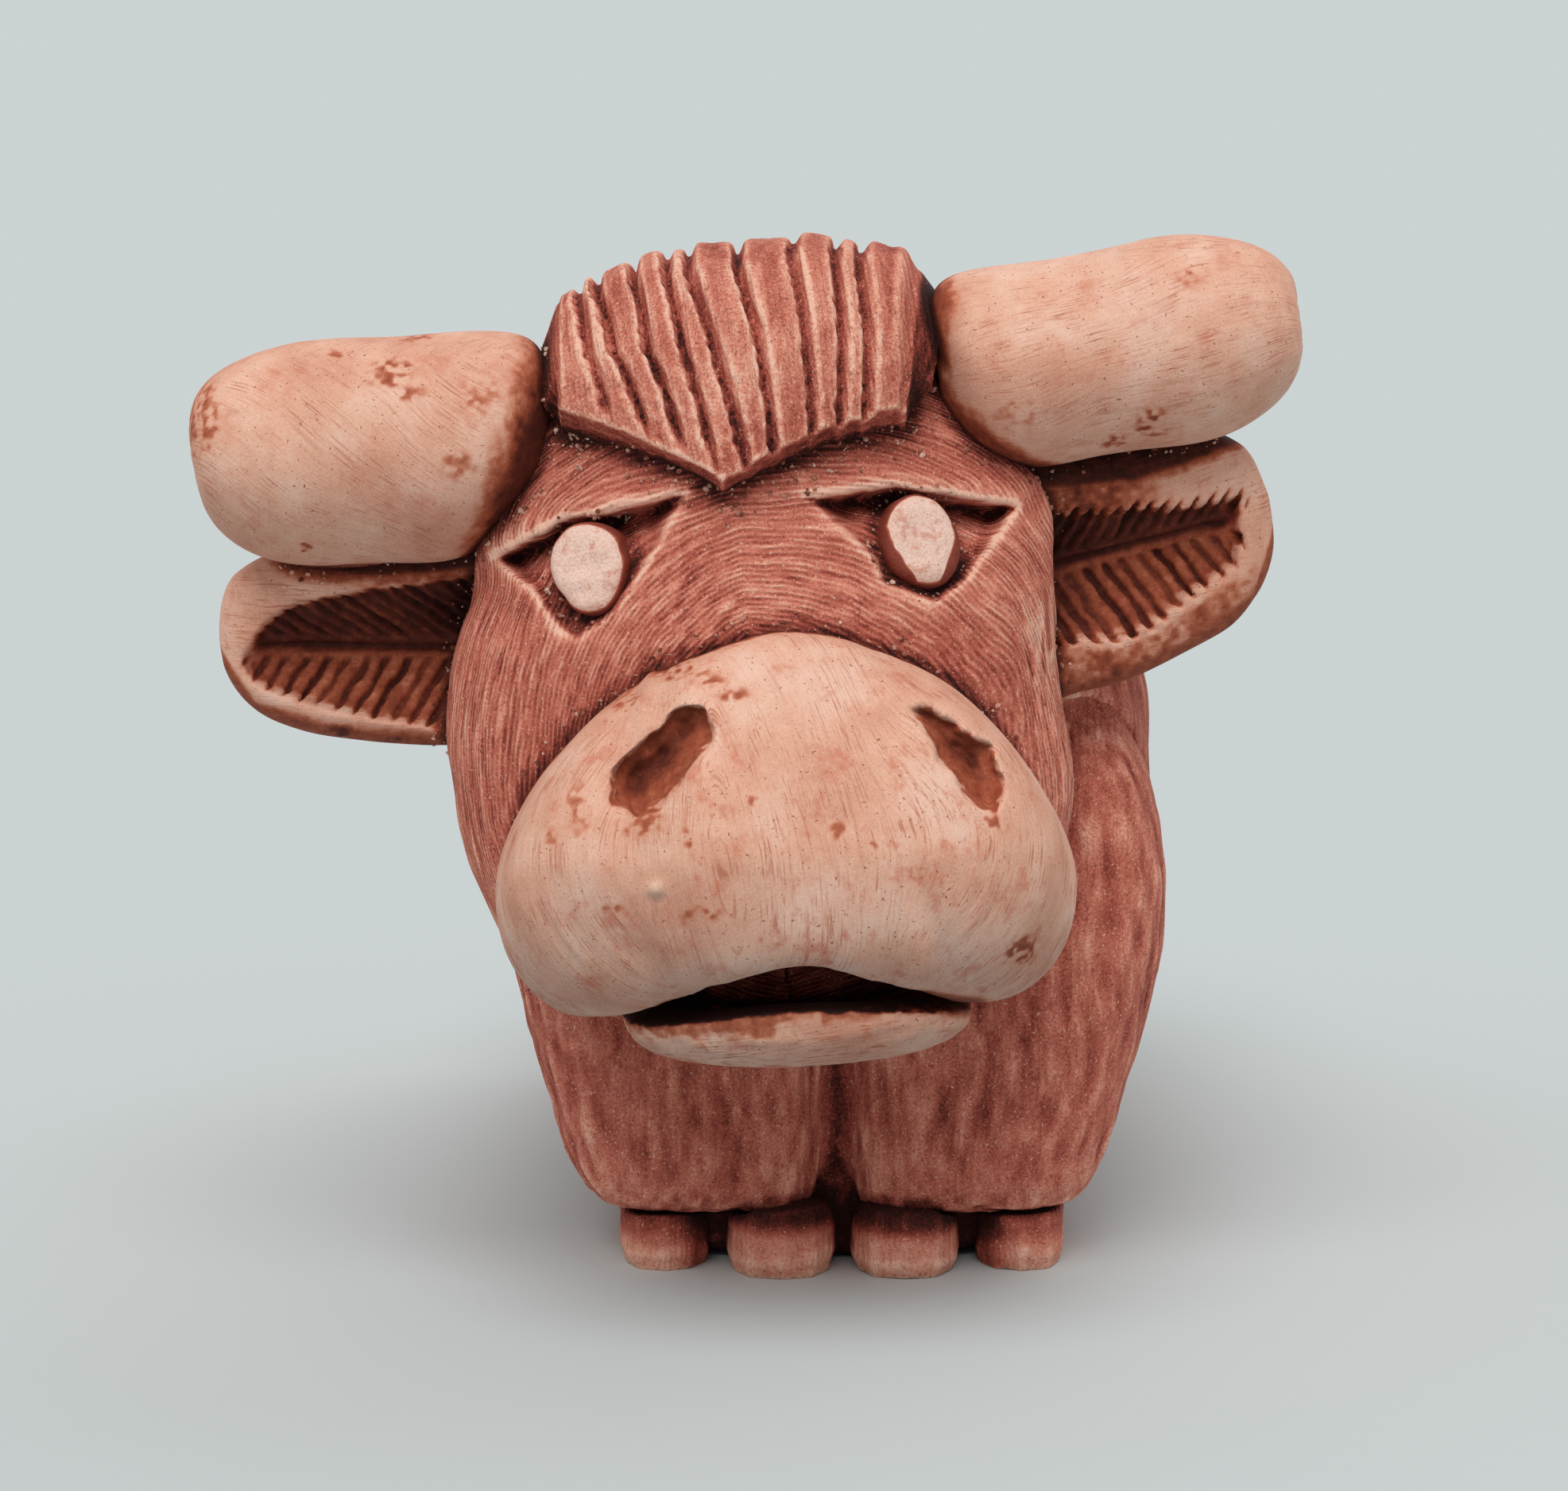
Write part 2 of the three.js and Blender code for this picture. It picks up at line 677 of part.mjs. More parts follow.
const tailY = torsoBackY + tailProud;
const tailPath = new THREE.CatmullRomCurve3([
  onRump(0.78),
  onRump(0.9).add(new THREE.Vector3(0, tailProud, tailProud)),
  onRump(0.98).add(new THREE.Vector3(0, tailProud, tailProud)),
  new THREE.Vector3(tailSweep * 0.08, tailY, torsoMidZ),
  new THREE.Vector3(tailSweep * 0.45, tailY, torsoMidZ - tailDrop * 0.55),
  new THREE.Vector3(tailSweep, tailY, torsoMidZ - tailDrop),
]);

function tailForm() {
  return rollAlong(tailPath, 10, 14, (share) => {
    const thick = (tailThickness / 2) * (1.15 - 0.35 * share);
    return [thick, thick];
  });
}

function tuftForm() {
  const end = tailPath.getPoint(1);
  const path = new THREE.CatmullRomCurve3([
    end.clone().add(new THREE.Vector3(0, 0, -seam)),
    end.clone().add(new THREE.Vector3(tuftSweep, 0, -tuftLength * 0.5)),
    end.clone().add(new THREE.Vector3(tuftSweep * 0.8, 0, -tuftLength)),
  ]);
  return rollAlong(path, 12, 8, (share) => {
    const leaf = Math.sin(Math.PI * (0.22 + 0.7 * share));
    return [(tuftWidth / 2) * leaf, (tailThickness / 2) * (0.7 + 0.5 * leaf)];
  });
}

// Finishes

function clay(name, color, roughness) {
  const material = new THREE.MeshStandardMaterial({ color, roughness, metalness: 0 });
  material.name = name;
  return material;
}

const russet = ['russet_clay', 0xa5604d, 0.9];
const buff = ['buff_clay', 0xe2b9a4, 0.78];
const pale = ['pale_clay', 0xecccbd, 0.75];

function meshOf(name, form, finish) {
  const found = form.getMesh();
  const geometry = new THREE.BufferGeometry();
  geometry.setAttribute('position', new THREE.BufferAttribute(new Float32Array(found.vertProperties), 3));
  geometry.setIndex(new THREE.BufferAttribute(new Uint32Array(found.triVerts), 1));
  geometry.computeVertexNormals();
  const mesh = new THREE.Mesh(geometry, clay(...finish));
  mesh.name = name;
  return mesh;
}

// Assembly

const group = new THREE.Group();
const head = new THREE.Group();
head.position.copy(headPlace);
head.rotation.set(0, radians(-headTilt), radians(headTurn), 'ZYX');
head.updateMatrix();
group.add(head);

const headSolid = headForm();
const headGrown = headForm(seam);
const hairGrown = forelockForm(seam);

head.add(meshOf('head', headSolid, russet));
const bodyGrown = moved(torsoForm(seam).add(neckForm(seam)), head.matrix.clone().invert());
head.add(meshOf('forelock', trimmed(forelockForm(), headGrown, bodyGrown), russet));

const muzzleGrown = muzzleForm(seam);
const nostrils = Object.keys(sides).map(nostrilForm);
head.add(meshOf('muzzle', trimmed(muzzleForm(), headGrown, ...nostrils), buff));
head.add(meshOf('lower_lip', trimmed(lipForm(), headGrown, muzzleGrown), buff));

for (const name of Object.keys(sides)) {
  const horn = trimmed(hornForm(name), headGrown, hairGrown);
  const ear = trimmed(earForm(name), headGrown, bodyGrown, hornForm(name, seam));
  const eye = trimmed(eyeForm(sides[name]), headGrown);
  head.add(meshOf(`horn_${name}`, horn, buff));
  head.add(meshOf(`ear_${name}`, ear, buff));
  head.add(meshOf(`eye_${name}`, eye, pale));
}

const headInBody = moved(headGrown, head.matrix);
const torsoCutters = [headInBody];

const rearLegs = [];
for (const name of Object.keys(sides)) {
  for (const hind of [false, true]) {
    const place = hind ? 'rear' : 'front';
    const side = sides[name];
    const leg = trimmed(legForm(side, hind), headInBody);
    const legGrown = legForm(side, hind, seam);
    // The torso leaves no thin skin in the slit, or outside the leg's rounded corner
    const acrossSlit = new THREE.Matrix4().makeTranslation(-side * legSlit, 0, 0);
    const beyond = new THREE.Matrix4().makeTranslation(0, (hind ? 1 : -1) * cornerReach, 0);
    torsoCutters.push(legGrown, moved(legGrown, acrossSlit), moved(legGrown, beyond));
    if (hind) {
      rearLegs.push(legGrown);
    }
    group.add(meshOf(`leg_${place}_${name}`, leg, russet));
    for (const outer of [false, true]) {
      const where = outer ? 'outer' : 'inner';
      const toe = trimmed(toeForm(name, hind, outer), legGrown);
      group.add(meshOf(`toe_${place}_${name}_${where}`, toe, russet));
    }
  }
}

group.add(meshOf('torso', trimmed(torsoForm().add(neckForm()), ...torsoCutters), russet));

const rump = [torsoForm(seam), ...rearLegs];
group.add(meshOf('tail', trimmed(tailForm(), ...rump), russet));
group.add(meshOf('tail_tuft', trimmed(tuftForm(), ...rump), russet));

// The origin is under the middle of the figure, on the ground
const extent = new THREE.Box3().setFromObject(group, true);
const middle = extent.getCenter(new THREE.Vector3());
group.position.set(-middle.x, -middle.y, -extent.min.z);

export default group;
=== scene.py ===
"""Bull figurine of hand-carved, unglazed clay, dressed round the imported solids.

Lengths are millimetres: in the figure's frame, or in the head's own frame where a comment says so. Meshes are
written in metres. "left" and "right" are the viewer's, looking at the bull's face, which points along -Y.
"""

import math

import bpy
import numpy as np
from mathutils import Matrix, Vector
from mathutils.bvhtree import BVHTree


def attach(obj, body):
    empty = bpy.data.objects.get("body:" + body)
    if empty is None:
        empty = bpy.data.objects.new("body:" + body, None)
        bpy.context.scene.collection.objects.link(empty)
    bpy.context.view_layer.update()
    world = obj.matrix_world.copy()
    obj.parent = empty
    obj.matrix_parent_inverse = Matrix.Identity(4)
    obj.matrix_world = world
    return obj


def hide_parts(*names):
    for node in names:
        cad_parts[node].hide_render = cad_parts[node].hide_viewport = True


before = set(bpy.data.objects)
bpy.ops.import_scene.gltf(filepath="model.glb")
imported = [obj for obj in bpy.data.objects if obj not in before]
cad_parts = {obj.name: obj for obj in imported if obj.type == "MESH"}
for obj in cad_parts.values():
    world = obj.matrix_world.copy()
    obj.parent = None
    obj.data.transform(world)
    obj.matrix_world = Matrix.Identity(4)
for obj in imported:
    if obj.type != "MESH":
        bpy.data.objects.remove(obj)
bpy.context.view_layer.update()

MM = 0.001
SIDES = {"left": -1, "right": 1}

# Camera: a quarter of a metre from the nose, a little above the eyes, looking slightly down
FRAME_WIDTH_PIXELS = 1973
FOCAL_PIXELS = 4400
SENSOR = 36.0
CAMERA_AT = (2.62, -304.30, 77.67)
CAMERA_DOWN = 7.0

# Head: its place in the figure's frame, and its shape in its own frame. The outline's right half is in shares
# of the width, and of the crown's or the chin's height
HEAD_AT = (1.1195, -34.1656, 54.6)
HEAD_TILT = 6.5
HEAD_TURN = 2.5
HEAD_WIDTH = 48.4
HEAD_CROWN = 25.4
HEAD_CHIN = 32.0
HEAD_LOPSIDE = -1.3
HEAD_SIDE_Y = 1.5
HEAD_BACK_Y = 17.0
HEAD_THROAT_Y = 3.4
THROAT_LOW_Z = -13.0
THROAT_TOP_Z = -3.0
NOSE_RIDGE = 12.4
RIDGE_X = -1.6
FACE_SLOPE = 0.34
FACE_WEDGE = 7.2
MOUTH_SETBACK = 5.0
HEAD_OUTLINE = [
    (0, 1), (0.19, 0.93), (0.29, 0.72), (0.38, 0.5), (0.472, 0.28),
    (0.5, -0.16), (0.485, -0.55), (0.4, -0.83), (0.2, -0.975), (0, -1),
]

# Where the cheeks are pared off, as (height, half height, depth)
CHEEK_PARED = {"left": (3.5, 5.5, 1.9), "right": (-7.5, 5.5, 0.8)}

# Strokes on the face: a pointed vault over the muzzle, steeper on its left side
VAULT_FOOT_Z = -12.0
VAULT_POINT = 3.0
VAULT_SPREAD = {"left": 1.2, "right": 0.75}
SIDE_STROKES_FROM = 53.0

# Eye sockets in the head's frame: corners as (x, z), brow first, and their depth under the brow
BROWS = {
    "left": [(-20.3, 7.0), (-14.7, 9.4), (-11.3, 9.8), (-5.0, 10.5)],
    "right": [(3.7, 9.3), (10.9, 9.1), (20.3, 6.3)],
}
SOCKET_LOW = {
    "left": [(-8.1, 6.4), (-11.2, 2.6), (-14.3, 0.7), (-15.8, 1.4), (-17.3, 4.3)],
    "right": [(17.9, 4.1), (15.2, 1.5), (12.6, 0.3), (8.9, 2.1), (8.5, 4.0), (6.3, 6.6)],
}
SOCKET_DEPTH = 4.0
SOCKET_FLOOR = 1.35
BROW_SWELL = 0.40
BROW_BEVEL = 0.42

# Eye pellets in the head's frame
EYE_AT = {"left": (-12.3, 5.45), "right": (11.75, 4.45)}
EYE_WIDTH = 5.5
EYE_HEIGHT = {"left": 6.6, "right": 6.8}
EYE_PROUD = 0.35
EYE_LENGTH = 5.6
EYE_SPLAY = {"left": -19.0, "right": 13.0}
EYE_LIFT = 12.0

# Muzzle, in the head's frame. The outline's right half is in shares of half the width and of the height
MUZZLE_WIDTH = 43.8
MUZZLE_SIDEWAYS = -1.2
MUZZLE_TOP_Z = -0.2
MUZZLE_HEIGHT = 28.6
MUZZLE_REACH = 23.4
MUZZLE_TOP_Y = 13.6
MUZZLE_SIDE_Y = 8.6
MUZZLE_ROOT_Y = 5.0
MUZZLE_TOP_SETBACK = 5.4
MUZZLE_LOBE = 0.9
MUZZLE_TWIST = 4.5
LIP_ARCH = 6.0
MOUTH_MIDDLE_X = 0.5
MOUTH_Z = MUZZLE_TOP_Z - MUZZLE_HEIGHT + LIP_ARCH
MUZZLE_OUTLINE = [
    (0, 0), (0.36, 0.075), (0.66, 0.22), (0.88, 0.42), (0.995, 0.65),
    (0.95, 0.86), (0.8, 0.98), (0.6, 0.995), (0.36, 0.92), (0, 1 - LIP_ARCH / MUZZLE_HEIGHT),
]

# Nostrils: outlines as (x, z) in the head's frame, read on the muzzle's front
NOSTRILS = {
    "left": [
        (-7.8, -4.1), (-5.5, -4.4), (-5.1, -5.8), (-5.6, -6.9), (-6.9, -8.4), (-8.5, -9.9), (-10.0, -11.1),
        (-11.4, -11.6), (-13.1, -10.4), (-12.9, -8.4), (-11.9, -7.3), (-10.7, -6.5), (-9.3, -5.6),
    ],
    "right": [
        (9.3, -6.3), (10.6, -6.1), (12.8, -8.0), (15.0, -9.9), (15.4, -12.5),
        (14.4, -14.3), (13.1, -13.7), (12.0, -12.2), (10.7, -10.3), (9.8, -8.4),
    ],
}
NOSTRIL_DEPTH = 3.9

# Stains on the muzzle, as (x, z, half width, half height, strength) in the head's frame
MUZZLE_STAINS = [
    (-8.2, -13.4, 0.6, 1.5, 0.34), (-7.7, -18.8, 1.9, 0.9, 0.30), (-2.8, -21.3, 1.6, 1.0, 0.22),
    (2.7, -13.8, 0.7, 0.9, 0.30), (5.1, -15.3, 0.5, 0.5, 0.32), (15.6, -25.1, 1.8, 1.6, 0.40),
    (-3.5, -3.8, 1.5, 0.6, 0.34), (-15.5, -10.5, 1.2, 3.0, 0.24), (-7.3, -1.9, 3.0, 0.8, 0.34),
    (-11.6, -3.6, 2.2, 0.9, 0.30), (-5.4, -2.6, 1.6, 0.7, 0.30), (-17.6, -13.0, 0.8, 2.2, 0.24),
    (-11.0, -11.8, 2.4, 0.9, 0.30), (14.4, -14.9, 1.6, 1.0, 0.30), (3.8, -9.2, 1.1, 0.5, 0.24),
    (-3.0, -11.2, 0.8, 0.5, 0.24), (8.2, -17.5, 1.2, 0.6, 0.26), (-13.8, -17.6, 1.0, 0.7, 0.26),
]
WART_AT = (-10.6, -16.4)

# Horns, in the head's frame
HORN_REACH = {"left": 41.9, "right": 43.6}
HORN_THICKNESS = {"left": 17.6, "right": 16.2}
HORN_Z = {"left": 15.5, "right": 16.8}
HORN_TIP_RISE = {"left": 1.6, "right": 1.2}
HORN_ROOT_X = 13.0
HORN_ROOT_SLANT = {"left": 8.5, "right": 6.5}
HORN_ROOT_CROWN = {"left": 1.5, "right": 2.5}
HORN_ROOT_BLUNT = 0.27
HORN_TIP_BLUNT = 0.6
HORN_Y = 1.5
HORN_WAIST = {"left": 0.02, "right": 0.055}
HORN_FORWARD = {"left": 3.5, "right": 1.5}

# The stained groove at a horn's root: where it ends, its slant, the slant's power and its step at the crown.
# The stain's tone, and how far past the groove it fades. Spots as on the muzzle
HORN_GROOVE = {"left": (14.8, 6.8, 1.3, 0.0), "right": (15.0, 9.0, 4.9, 1.8)}
HORN_ROOT_STAIN = {"left": (0.78, 2.6), "right": (0.60, 1.5)}
HORN_STAINS = {
    "left": [
        (-40.6, 20.4, 2.3, 4.2, 0.31), (-26.0, 21.8, 2.2, 1.2, 0.38), (-24.0, 24.0, 1.6, 0.7, 0.30),
        (-34.0, 9.4, 0.6, 0.4, 0.9), (-30.0, 23.4, 0.9, 0.6, 0.3), (-19.5, 19.5, 2.0, 2.0, 0.26),
        (-24.5, 20.2, 1.5, 0.9, 0.26), (-21.5, 14.5, 1.6, 1.4, 0.26),
    ],
    "right": [
        (30.9, 11.9, 1.5, 1.5, 0.46), (28.0, 10.6, 1.3, 0.9, 0.38), (34.5, 22.0, 1.3, 1.0, 0.26),
        (42.0, 18.0, 1.6, 3.2, 0.12), (20.5, 13.5, 2.4, 1.8, 0.20),
    ],
}

# Ears, in the head's frame: cup edges as (outwards, up), from the tip round the top
EAR_REACH = {"left": 42.6, "right": 40.8}
EAR_TOP = {"left": 9.2, "right": 10.4}
EAR_DROP = {"left": 7.8, "right": 9.4}
EAR_ROOT_X = 18.0
EAR_THICKNESS = 7.5
EAR_Y = 5.4
EAR_CUPS = {
    "left": [
        (40.9, 0.8), (39.8, 2.9), (38.3, 4.2), (36.6, 5.1), (33.5, 5.5), (29.0, 5.7), (24.0, 5.6), (20.0, 5.4),
        (19.0, 0.0), (20.0, -6.8), (25.9, -6.1), (29.2, -5.3), (34.0, -3.9), (37.0, -2.7), (40.3, -0.8),
    ],
    "right": [
        (38.0, 2.3), (38.2, 4.9), (36.8, 4.8), (33.5, 4.6), (30.3, 4.9), (27.0, 4.9), (23.5, 5.2), (20.0, 5.2),
        (19.0, 0.0), (20.0, -5.2), (24.5, -4.9), (27.3, -5.3), (30.7, -4.2), (34.2, -2.1), (37.5, -0.3),
    ],
}
EAR_CUP_DEPTH = 4.4

# The spine of an ear's strokes from root to tip, and the strokes above and below it. A rim's line is where its
# top edge begins to darken, with stain and painted shadow of the horn, and the rims' tones are for the upper and
# the lower half
EAR_SPINE = {"left": (24.3, 0.0, 35.2, 1.5), "right": (23.5, 0.9, 35.2, 2.7)}
EAR_STROKES = {
    "left": {"pitch": (1.56, 1.56), "lean": (-1.28, -0.73), "past": (-0.1, 0.1)},
    "right": {"pitch": (1.30, 1.45), "lean": (-0.65, -0.50), "past": (0.95, 0.7)},
}
EAR_STROKE_DEPTH = 0.6
EAR_RIM_LINE = {
    "left": ((22.0, 30.0, 35.0, 38.5), (5.8, 6.2, 7.3, 9.1)),
    "right": ((23.5, 30.0, 35.0, 39.2), (6.8, 6.8, 7.7, 8.8)),
}
EAR_TOP_RIM = {"left": 0.48, "right": 0.54}
EAR_LOW_RIM = {"left": 0.50, "right": 0.46}

# Forelock, in the head's frame. Its fringe has a left corner, a tip and a right corner, as (x, z). The bevel's
# height is given at three shares across
HAIR_THICKNESS = 2.9
FRINGE_LEFT = (-12.8, 16.0)
FRINGE_TIP = (-2.1, 10.3)
FRINGE_RIGHT = (11.3, 13.3)
FRINGE_BEVEL_AT = (-1.0, -0.2, 1.0)
FRINGE_BEVEL = (2.8, 1.5, 1.7)
FRINGE_TUCK = 3.6
HAIR_FLANK = 2.8
HAIR_FLANK_STAIN = {"left": 0.42, "right": 0.66}
HAIR_TURNS_ABOUT = (8.0, 12.0)
HAIR_TOP_HALF_WIDTH = 13.9
HAIR_SIDEWAYS = 1.6
HAIR_TOP_Z = 29.1
HAIR_BACK_Z = 15.5
HAIR_SIDE_DROP = 4.3
HAIR_ARCH = 4.6
HAIR_FRONT_ARCH = 3.2
HAIR_OVERHANG = 1.2
HAIR_SUNK = 1.2
HAIR_INNER_POINT = (1.0, 6.0, 10.0)
HAIR_SHEET_WIDTH = 13
HAIR_SHEET_LENGTH = 32
HAIR_COLUMNS = 440
HAIR_ROWS = 220
HAIR_SKIRT = 8

# The grooves between its locks, as shares across at three shares of the way from the fringe to the nape. The
# first few stop short of the fringe
LOCK_GROOVES = [
    (-0.71, -0.825, -0.875), (-0.50, -0.69, -0.775), (-0.30, -0.50, -0.56), (-0.15, -0.30, -0.385),
    (0.02, -0.12, -0.262), (0.19, 0.12, 0.0), (0.43, 0.39, 0.30), (0.59, 0.60, 0.54),
    (0.75, 0.74, 0.675),
]
GROOVE_STOPS = (0.0, 0.15, 0.36)
GROOVES_SHORT_OF_FRINGE = 4
LOCK_GROOVE_DEPTH = 1.05
LOCK_SIDES = (-0.95, 0.90)

# Body, legs and feet, in the figure's frame
BODY_MIDDLE_X = 6.92
BODY_HALF_WIDTH = 26.8
BODY_STROKE = 0.8
JOINT_FILL = 0.45
LEG_CORNER_DROP = 1.9
LUTING_REACH = 1.0
LUTING_INSET = 0.22
FOOT_HALF_WIDTH = 14.6
FOOT_TOP = 11.0
FOOT_DEPTHS = {"front": (-22.5, -6.0), "rear": (41.0, 52.0)}

# Seams between pieces. The pieces of the body are one mass, without a seam where they meet
SEAM_REACH = 2.6
ONE_BODY = ("torso", "leg", "luting", "foot")
JOINED = ("torso", "leg")
FINE_PASSES = 3
BROAD_PASSES = 30

# Clay crumbs left in the seams, as icosahedra: how near the seam they start and stop, and how thick they lie
CRUMB_SIZE = (0.06, 0.20)
CRUMB_SEAMS = {
    "head_block": (0.42, 0.90, 1.3),
    "muzzle_dome": (0.48, 0.77, 0.15),
    "forelock_locks": (0.60, 0.91, 0.15),
    "ear_leaf_left": (0.45, 0.90, 0.5),
    "ear_leaf_right": (0.45, 0.90, 0.5),
}
CRUMB_THROAT_Z = -12
CRUMB_CHANCE = 0.06
CRUMB_FACES = [
    (0, 11, 5), (0, 5, 1), (0, 1, 7), (0, 7, 10), (0, 10, 11), (1, 5, 9), (5, 11, 4), (11, 10, 2), (10, 7, 6),
    (7, 1, 8), (3, 9, 4), (3, 4, 2), (3, 2, 6), (3, 6, 8), (3, 8, 9), (4, 9, 5), (2, 4, 11), (6, 2, 10),
    (8, 6, 7), (9, 8, 1),
]
GOLDEN = (1 + 5**0.5) / 2
CRUMB_CORNERS = np.array([
    (-1, GOLDEN, 0), (1, GOLDEN, 0), (-1, -GOLDEN, 0), (1, -GOLDEN, 0), (0, -1, GOLDEN), (0, 1, GOLDEN),
    (0, -1, -GOLDEN), (0, 1, -GOLDEN), (GOLDEN, 0, -1), (GOLDEN, 0, 1), (-GOLDEN, 0, -1), (-GOLDEN, 0, 1),
]) / GOLDEN

# Tones of the clays as (share of stain or grit, colour as it is seen), from pale to dark or dark to pale
RUSSET_TONES = [
    (0.0, (246, 194, 170)), (0.20, (228, 154, 130)), (0.40, (200, 114, 94)),
    (0.62, (160, 76, 61)), (0.82, (106, 44, 35)), (1.0, (50, 20, 16)),
]
BUFF_TONES = [(0.34, (217, 154, 128)), (0.5, (235, 180, 154)), (0.64, (243, 200, 179))]
BUFF_STAIN_TONES = [
    (0.0, (228, 172, 144)), (0.25, (206, 124, 92)), (0.5, (160, 80, 54)),
    (0.72, (104, 46, 33)), (1.0, (42, 18, 14)),
]
PALE_TONES = [(0.3, (226, 180, 160)), (0.6, (246, 212, 197))]
PALE_STAIN_TONES = [(0.3, (206, 124, 100)), (0.7, (170, 88, 68)), (1.0, (134, 62, 48))]
CRUMB_TONES = [(0.35, (118, 62, 50)), (0.5, (176, 112, 92)), (0.68, (226, 190, 172))]

# Floor and light. A source is the direction that its light comes from
FLOOR_COLOUR = (206, 213, 213)
FLOOR_FOG = (196, 204, 205)
FLOOR_HALF = 3000
FLOOR_DROP = 0.02
ROOM_STRENGTH = 0.36
KEY_FROM = Vector((-0.10, -0.60, 0.84))
KEY_STRENGTH = 1.98
KEY_SPREAD = 45
BACK_FROM = Vector((0.5, 0.8, 0.6))
BACK_STRENGTH = 0.6
BACK_SPREAD = 80


# Numbers and noise


def smoothstep(value, low, high):
    share = np.clip((value - low) / (high - low), 0, 1)
    return share * share * (3 - 2 * share)


def signed_power(value, power):
    return np.sign(value) * np.abs(value) ** power


def bump(value, centre, spread):
    return np.exp(-(((value - centre) / spread) ** 2))


def lattice(cells, seed):
    """A repeatable number from 0 to 1 for each whole-number cell."""
    mixed = cells[:, 0] * 73856093 ^ cells[:, 1] * 19349663 ^ cells[:, 2] * 83492791 ^ seed * 2654435761
    mixed &= 0xFFFFFFFF
    mixed = ((mixed ^ (mixed >> 13)) * 1274126177) & 0xFFFFFFFF
    mixed ^= mixed >> 16
    return (mixed & 0xFFFF) / 65535.0


def noise(points, size, seed=0):
    """Smooth noise from 0 to 1 whose features are about size long, one size for all axes or three."""
    scaled = points / np.asarray(size, float)
    cells = np.floor(scaled).astype(np.int64)
    part = scaled - cells
    part = part * part * (3 - 2 * part)
    total = np.zeros(len(points))
    for corner in np.ndindex(2, 2, 2):
        weight = np.ones(len(points))
        for axis, step in enumerate(corner):
            weight *= part[:, axis] if step else 1 - part[:, axis]
        total += weight * lattice(cells + np.array(corner), seed)
    return total


def jitter(points, size, seed):
    """The same noise, from -0.5 to 0.5."""
    return noise(points, size, seed) - 0.5


def columns(*parts):
    """Rows put together from their parts, each a list of numbers or one number."""
    return np.stack(np.broadcast_arrays(*parts), axis=1)


def line_distance(across, up, corners):
    """Distance from each point to an open line through the corners."""
    nearest = np.full(len(across), np.inf)
    for (ax, az), (bx, bz) in zip(corners[:-1], corners[1:]):
        dx, dz = bx - ax, bz - az
        share = np.clip(((across - ax) * dx + (up - az) * dz) / (dx * dx + dz * dz), 0, 1)
        nearest = np.minimum(nearest, np.hypot(across - ax - share * dx, up - az - share * dz))
    return nearest


def outline_distance(across, up, corners):
    """Distance from each point to a closed outline, positive inside."""
    corners = np.asarray(corners, float)
    inside = np.zeros(len(across), bool)
    for (ax, az), (bx, bz) in zip(corners, np.roll(corners, -1, axis=0)):
        if az != bz:
            inside ^= ((az > up) != (bz > up)) & (across < ax + (up - az) / (bz - az) * (bx - ax))
    away = line_distance(across, up, np.vstack([corners, corners[:1]]))
    return np.where(inside, away, -away)


def spotted(at, spots):
    """How strongly each point is stained by spots given as (x, z, half width, half height, strength)."""
    x = at[:, 0] + 0.5 * jitter(at, 1.0, 81) + 0.3 * jitter(at, 0.4, 82)
    z = at[:, 2] + 0.5 * jitter(at, 1.0, 83) + 0.3 * jitter(at, 0.4, 84)
    total = np.zeros(len(at))
    for across, up, half_width, half_height, strength in spots:
        away = np.hypot((x - across) / half_width, (z - up) / half_height)
        total = np.maximum(total, strength * (1 - smoothstep(away, 0.3, 1.35)))
    broken = 0.30 + 1.1 * smoothstep(noise(at, 0.45, 85), 0.30, 0.72)
    return total * broken * (at[:, 1] < 2.0)


def closed_curve(corners, share):
    """Points of a smooth closed curve through the corners, for shares from 0 to 1 of the way round."""
    corners = np.asarray(corners, float)
    count = len(corners)
    along = (share % 1.0) * count
    start = np.floor(along).astype(int)
    part = (along - start)[:, None]
    before, here, there, after = (corners[(start + step) % count] for step in (-1, 0, 1, 2))
    first, second, third = (
        np.sqrt(np.linalg.norm(end - start, axis=1))[:, None]
        for start, end in ((before, here), (here, there), (there, after))
    )
    leave = ((here - before) / first - (there - before) / (first + second) + (there - here) / second) * second
    arrive = ((there - here) / second - (after - here) / (second + third) + (after - there) / third) * second
    bend = 3 * (there - here) - 2 * leave - arrive
    turn = 2 * (here - there) + leave + arrive
    return here + part * (leave + part * (bend + part * turn))


def mirrored(half):
    """A closed outline from its right half, listed from top to bottom as (x, z)."""
    left = [(-x, z) for x, z in half]
    return left + half[1:-1][::-1]


# Meshes


def mesh_of(points, faces):
    """A mesh in metres from points in millimetres."""
    mesh = bpy.data.meshes.new("piece")
    mesh.from_pydata((np.asarray(points) * MM).tolist(), [], faces)
    mesh.update()
    return mesh


def points_of(mesh):
    found = np.empty(len(mesh.vertices) * 3, np.float32)
    mesh.vertices.foreach_get("co", found)
    return found.reshape(-1, 3).astype(float) / MM


def set_points(mesh, points):
    mesh.vertices.foreach_set("co", (points * MM).astype(np.float32).ravel())
    mesh.update()


def normals_of(mesh):
    found = np.empty(len(mesh.vertices) * 3, np.float32)
    mesh.vertices.foreach_get("normal", found)
    return found.reshape(-1, 3).astype(float)


def put(mesh, name, values):
    """Keeps one number, or three, for each vertex, for the materials to read."""
    kind = "FLOAT_VECTOR" if values.ndim == 2 else "FLOAT"
    layer = mesh.attributes.new(name, kind, "POINT")
    layer.data.foreach_set("vector" if values.ndim == 2 else "value", values.astype(np.float32).ravel())


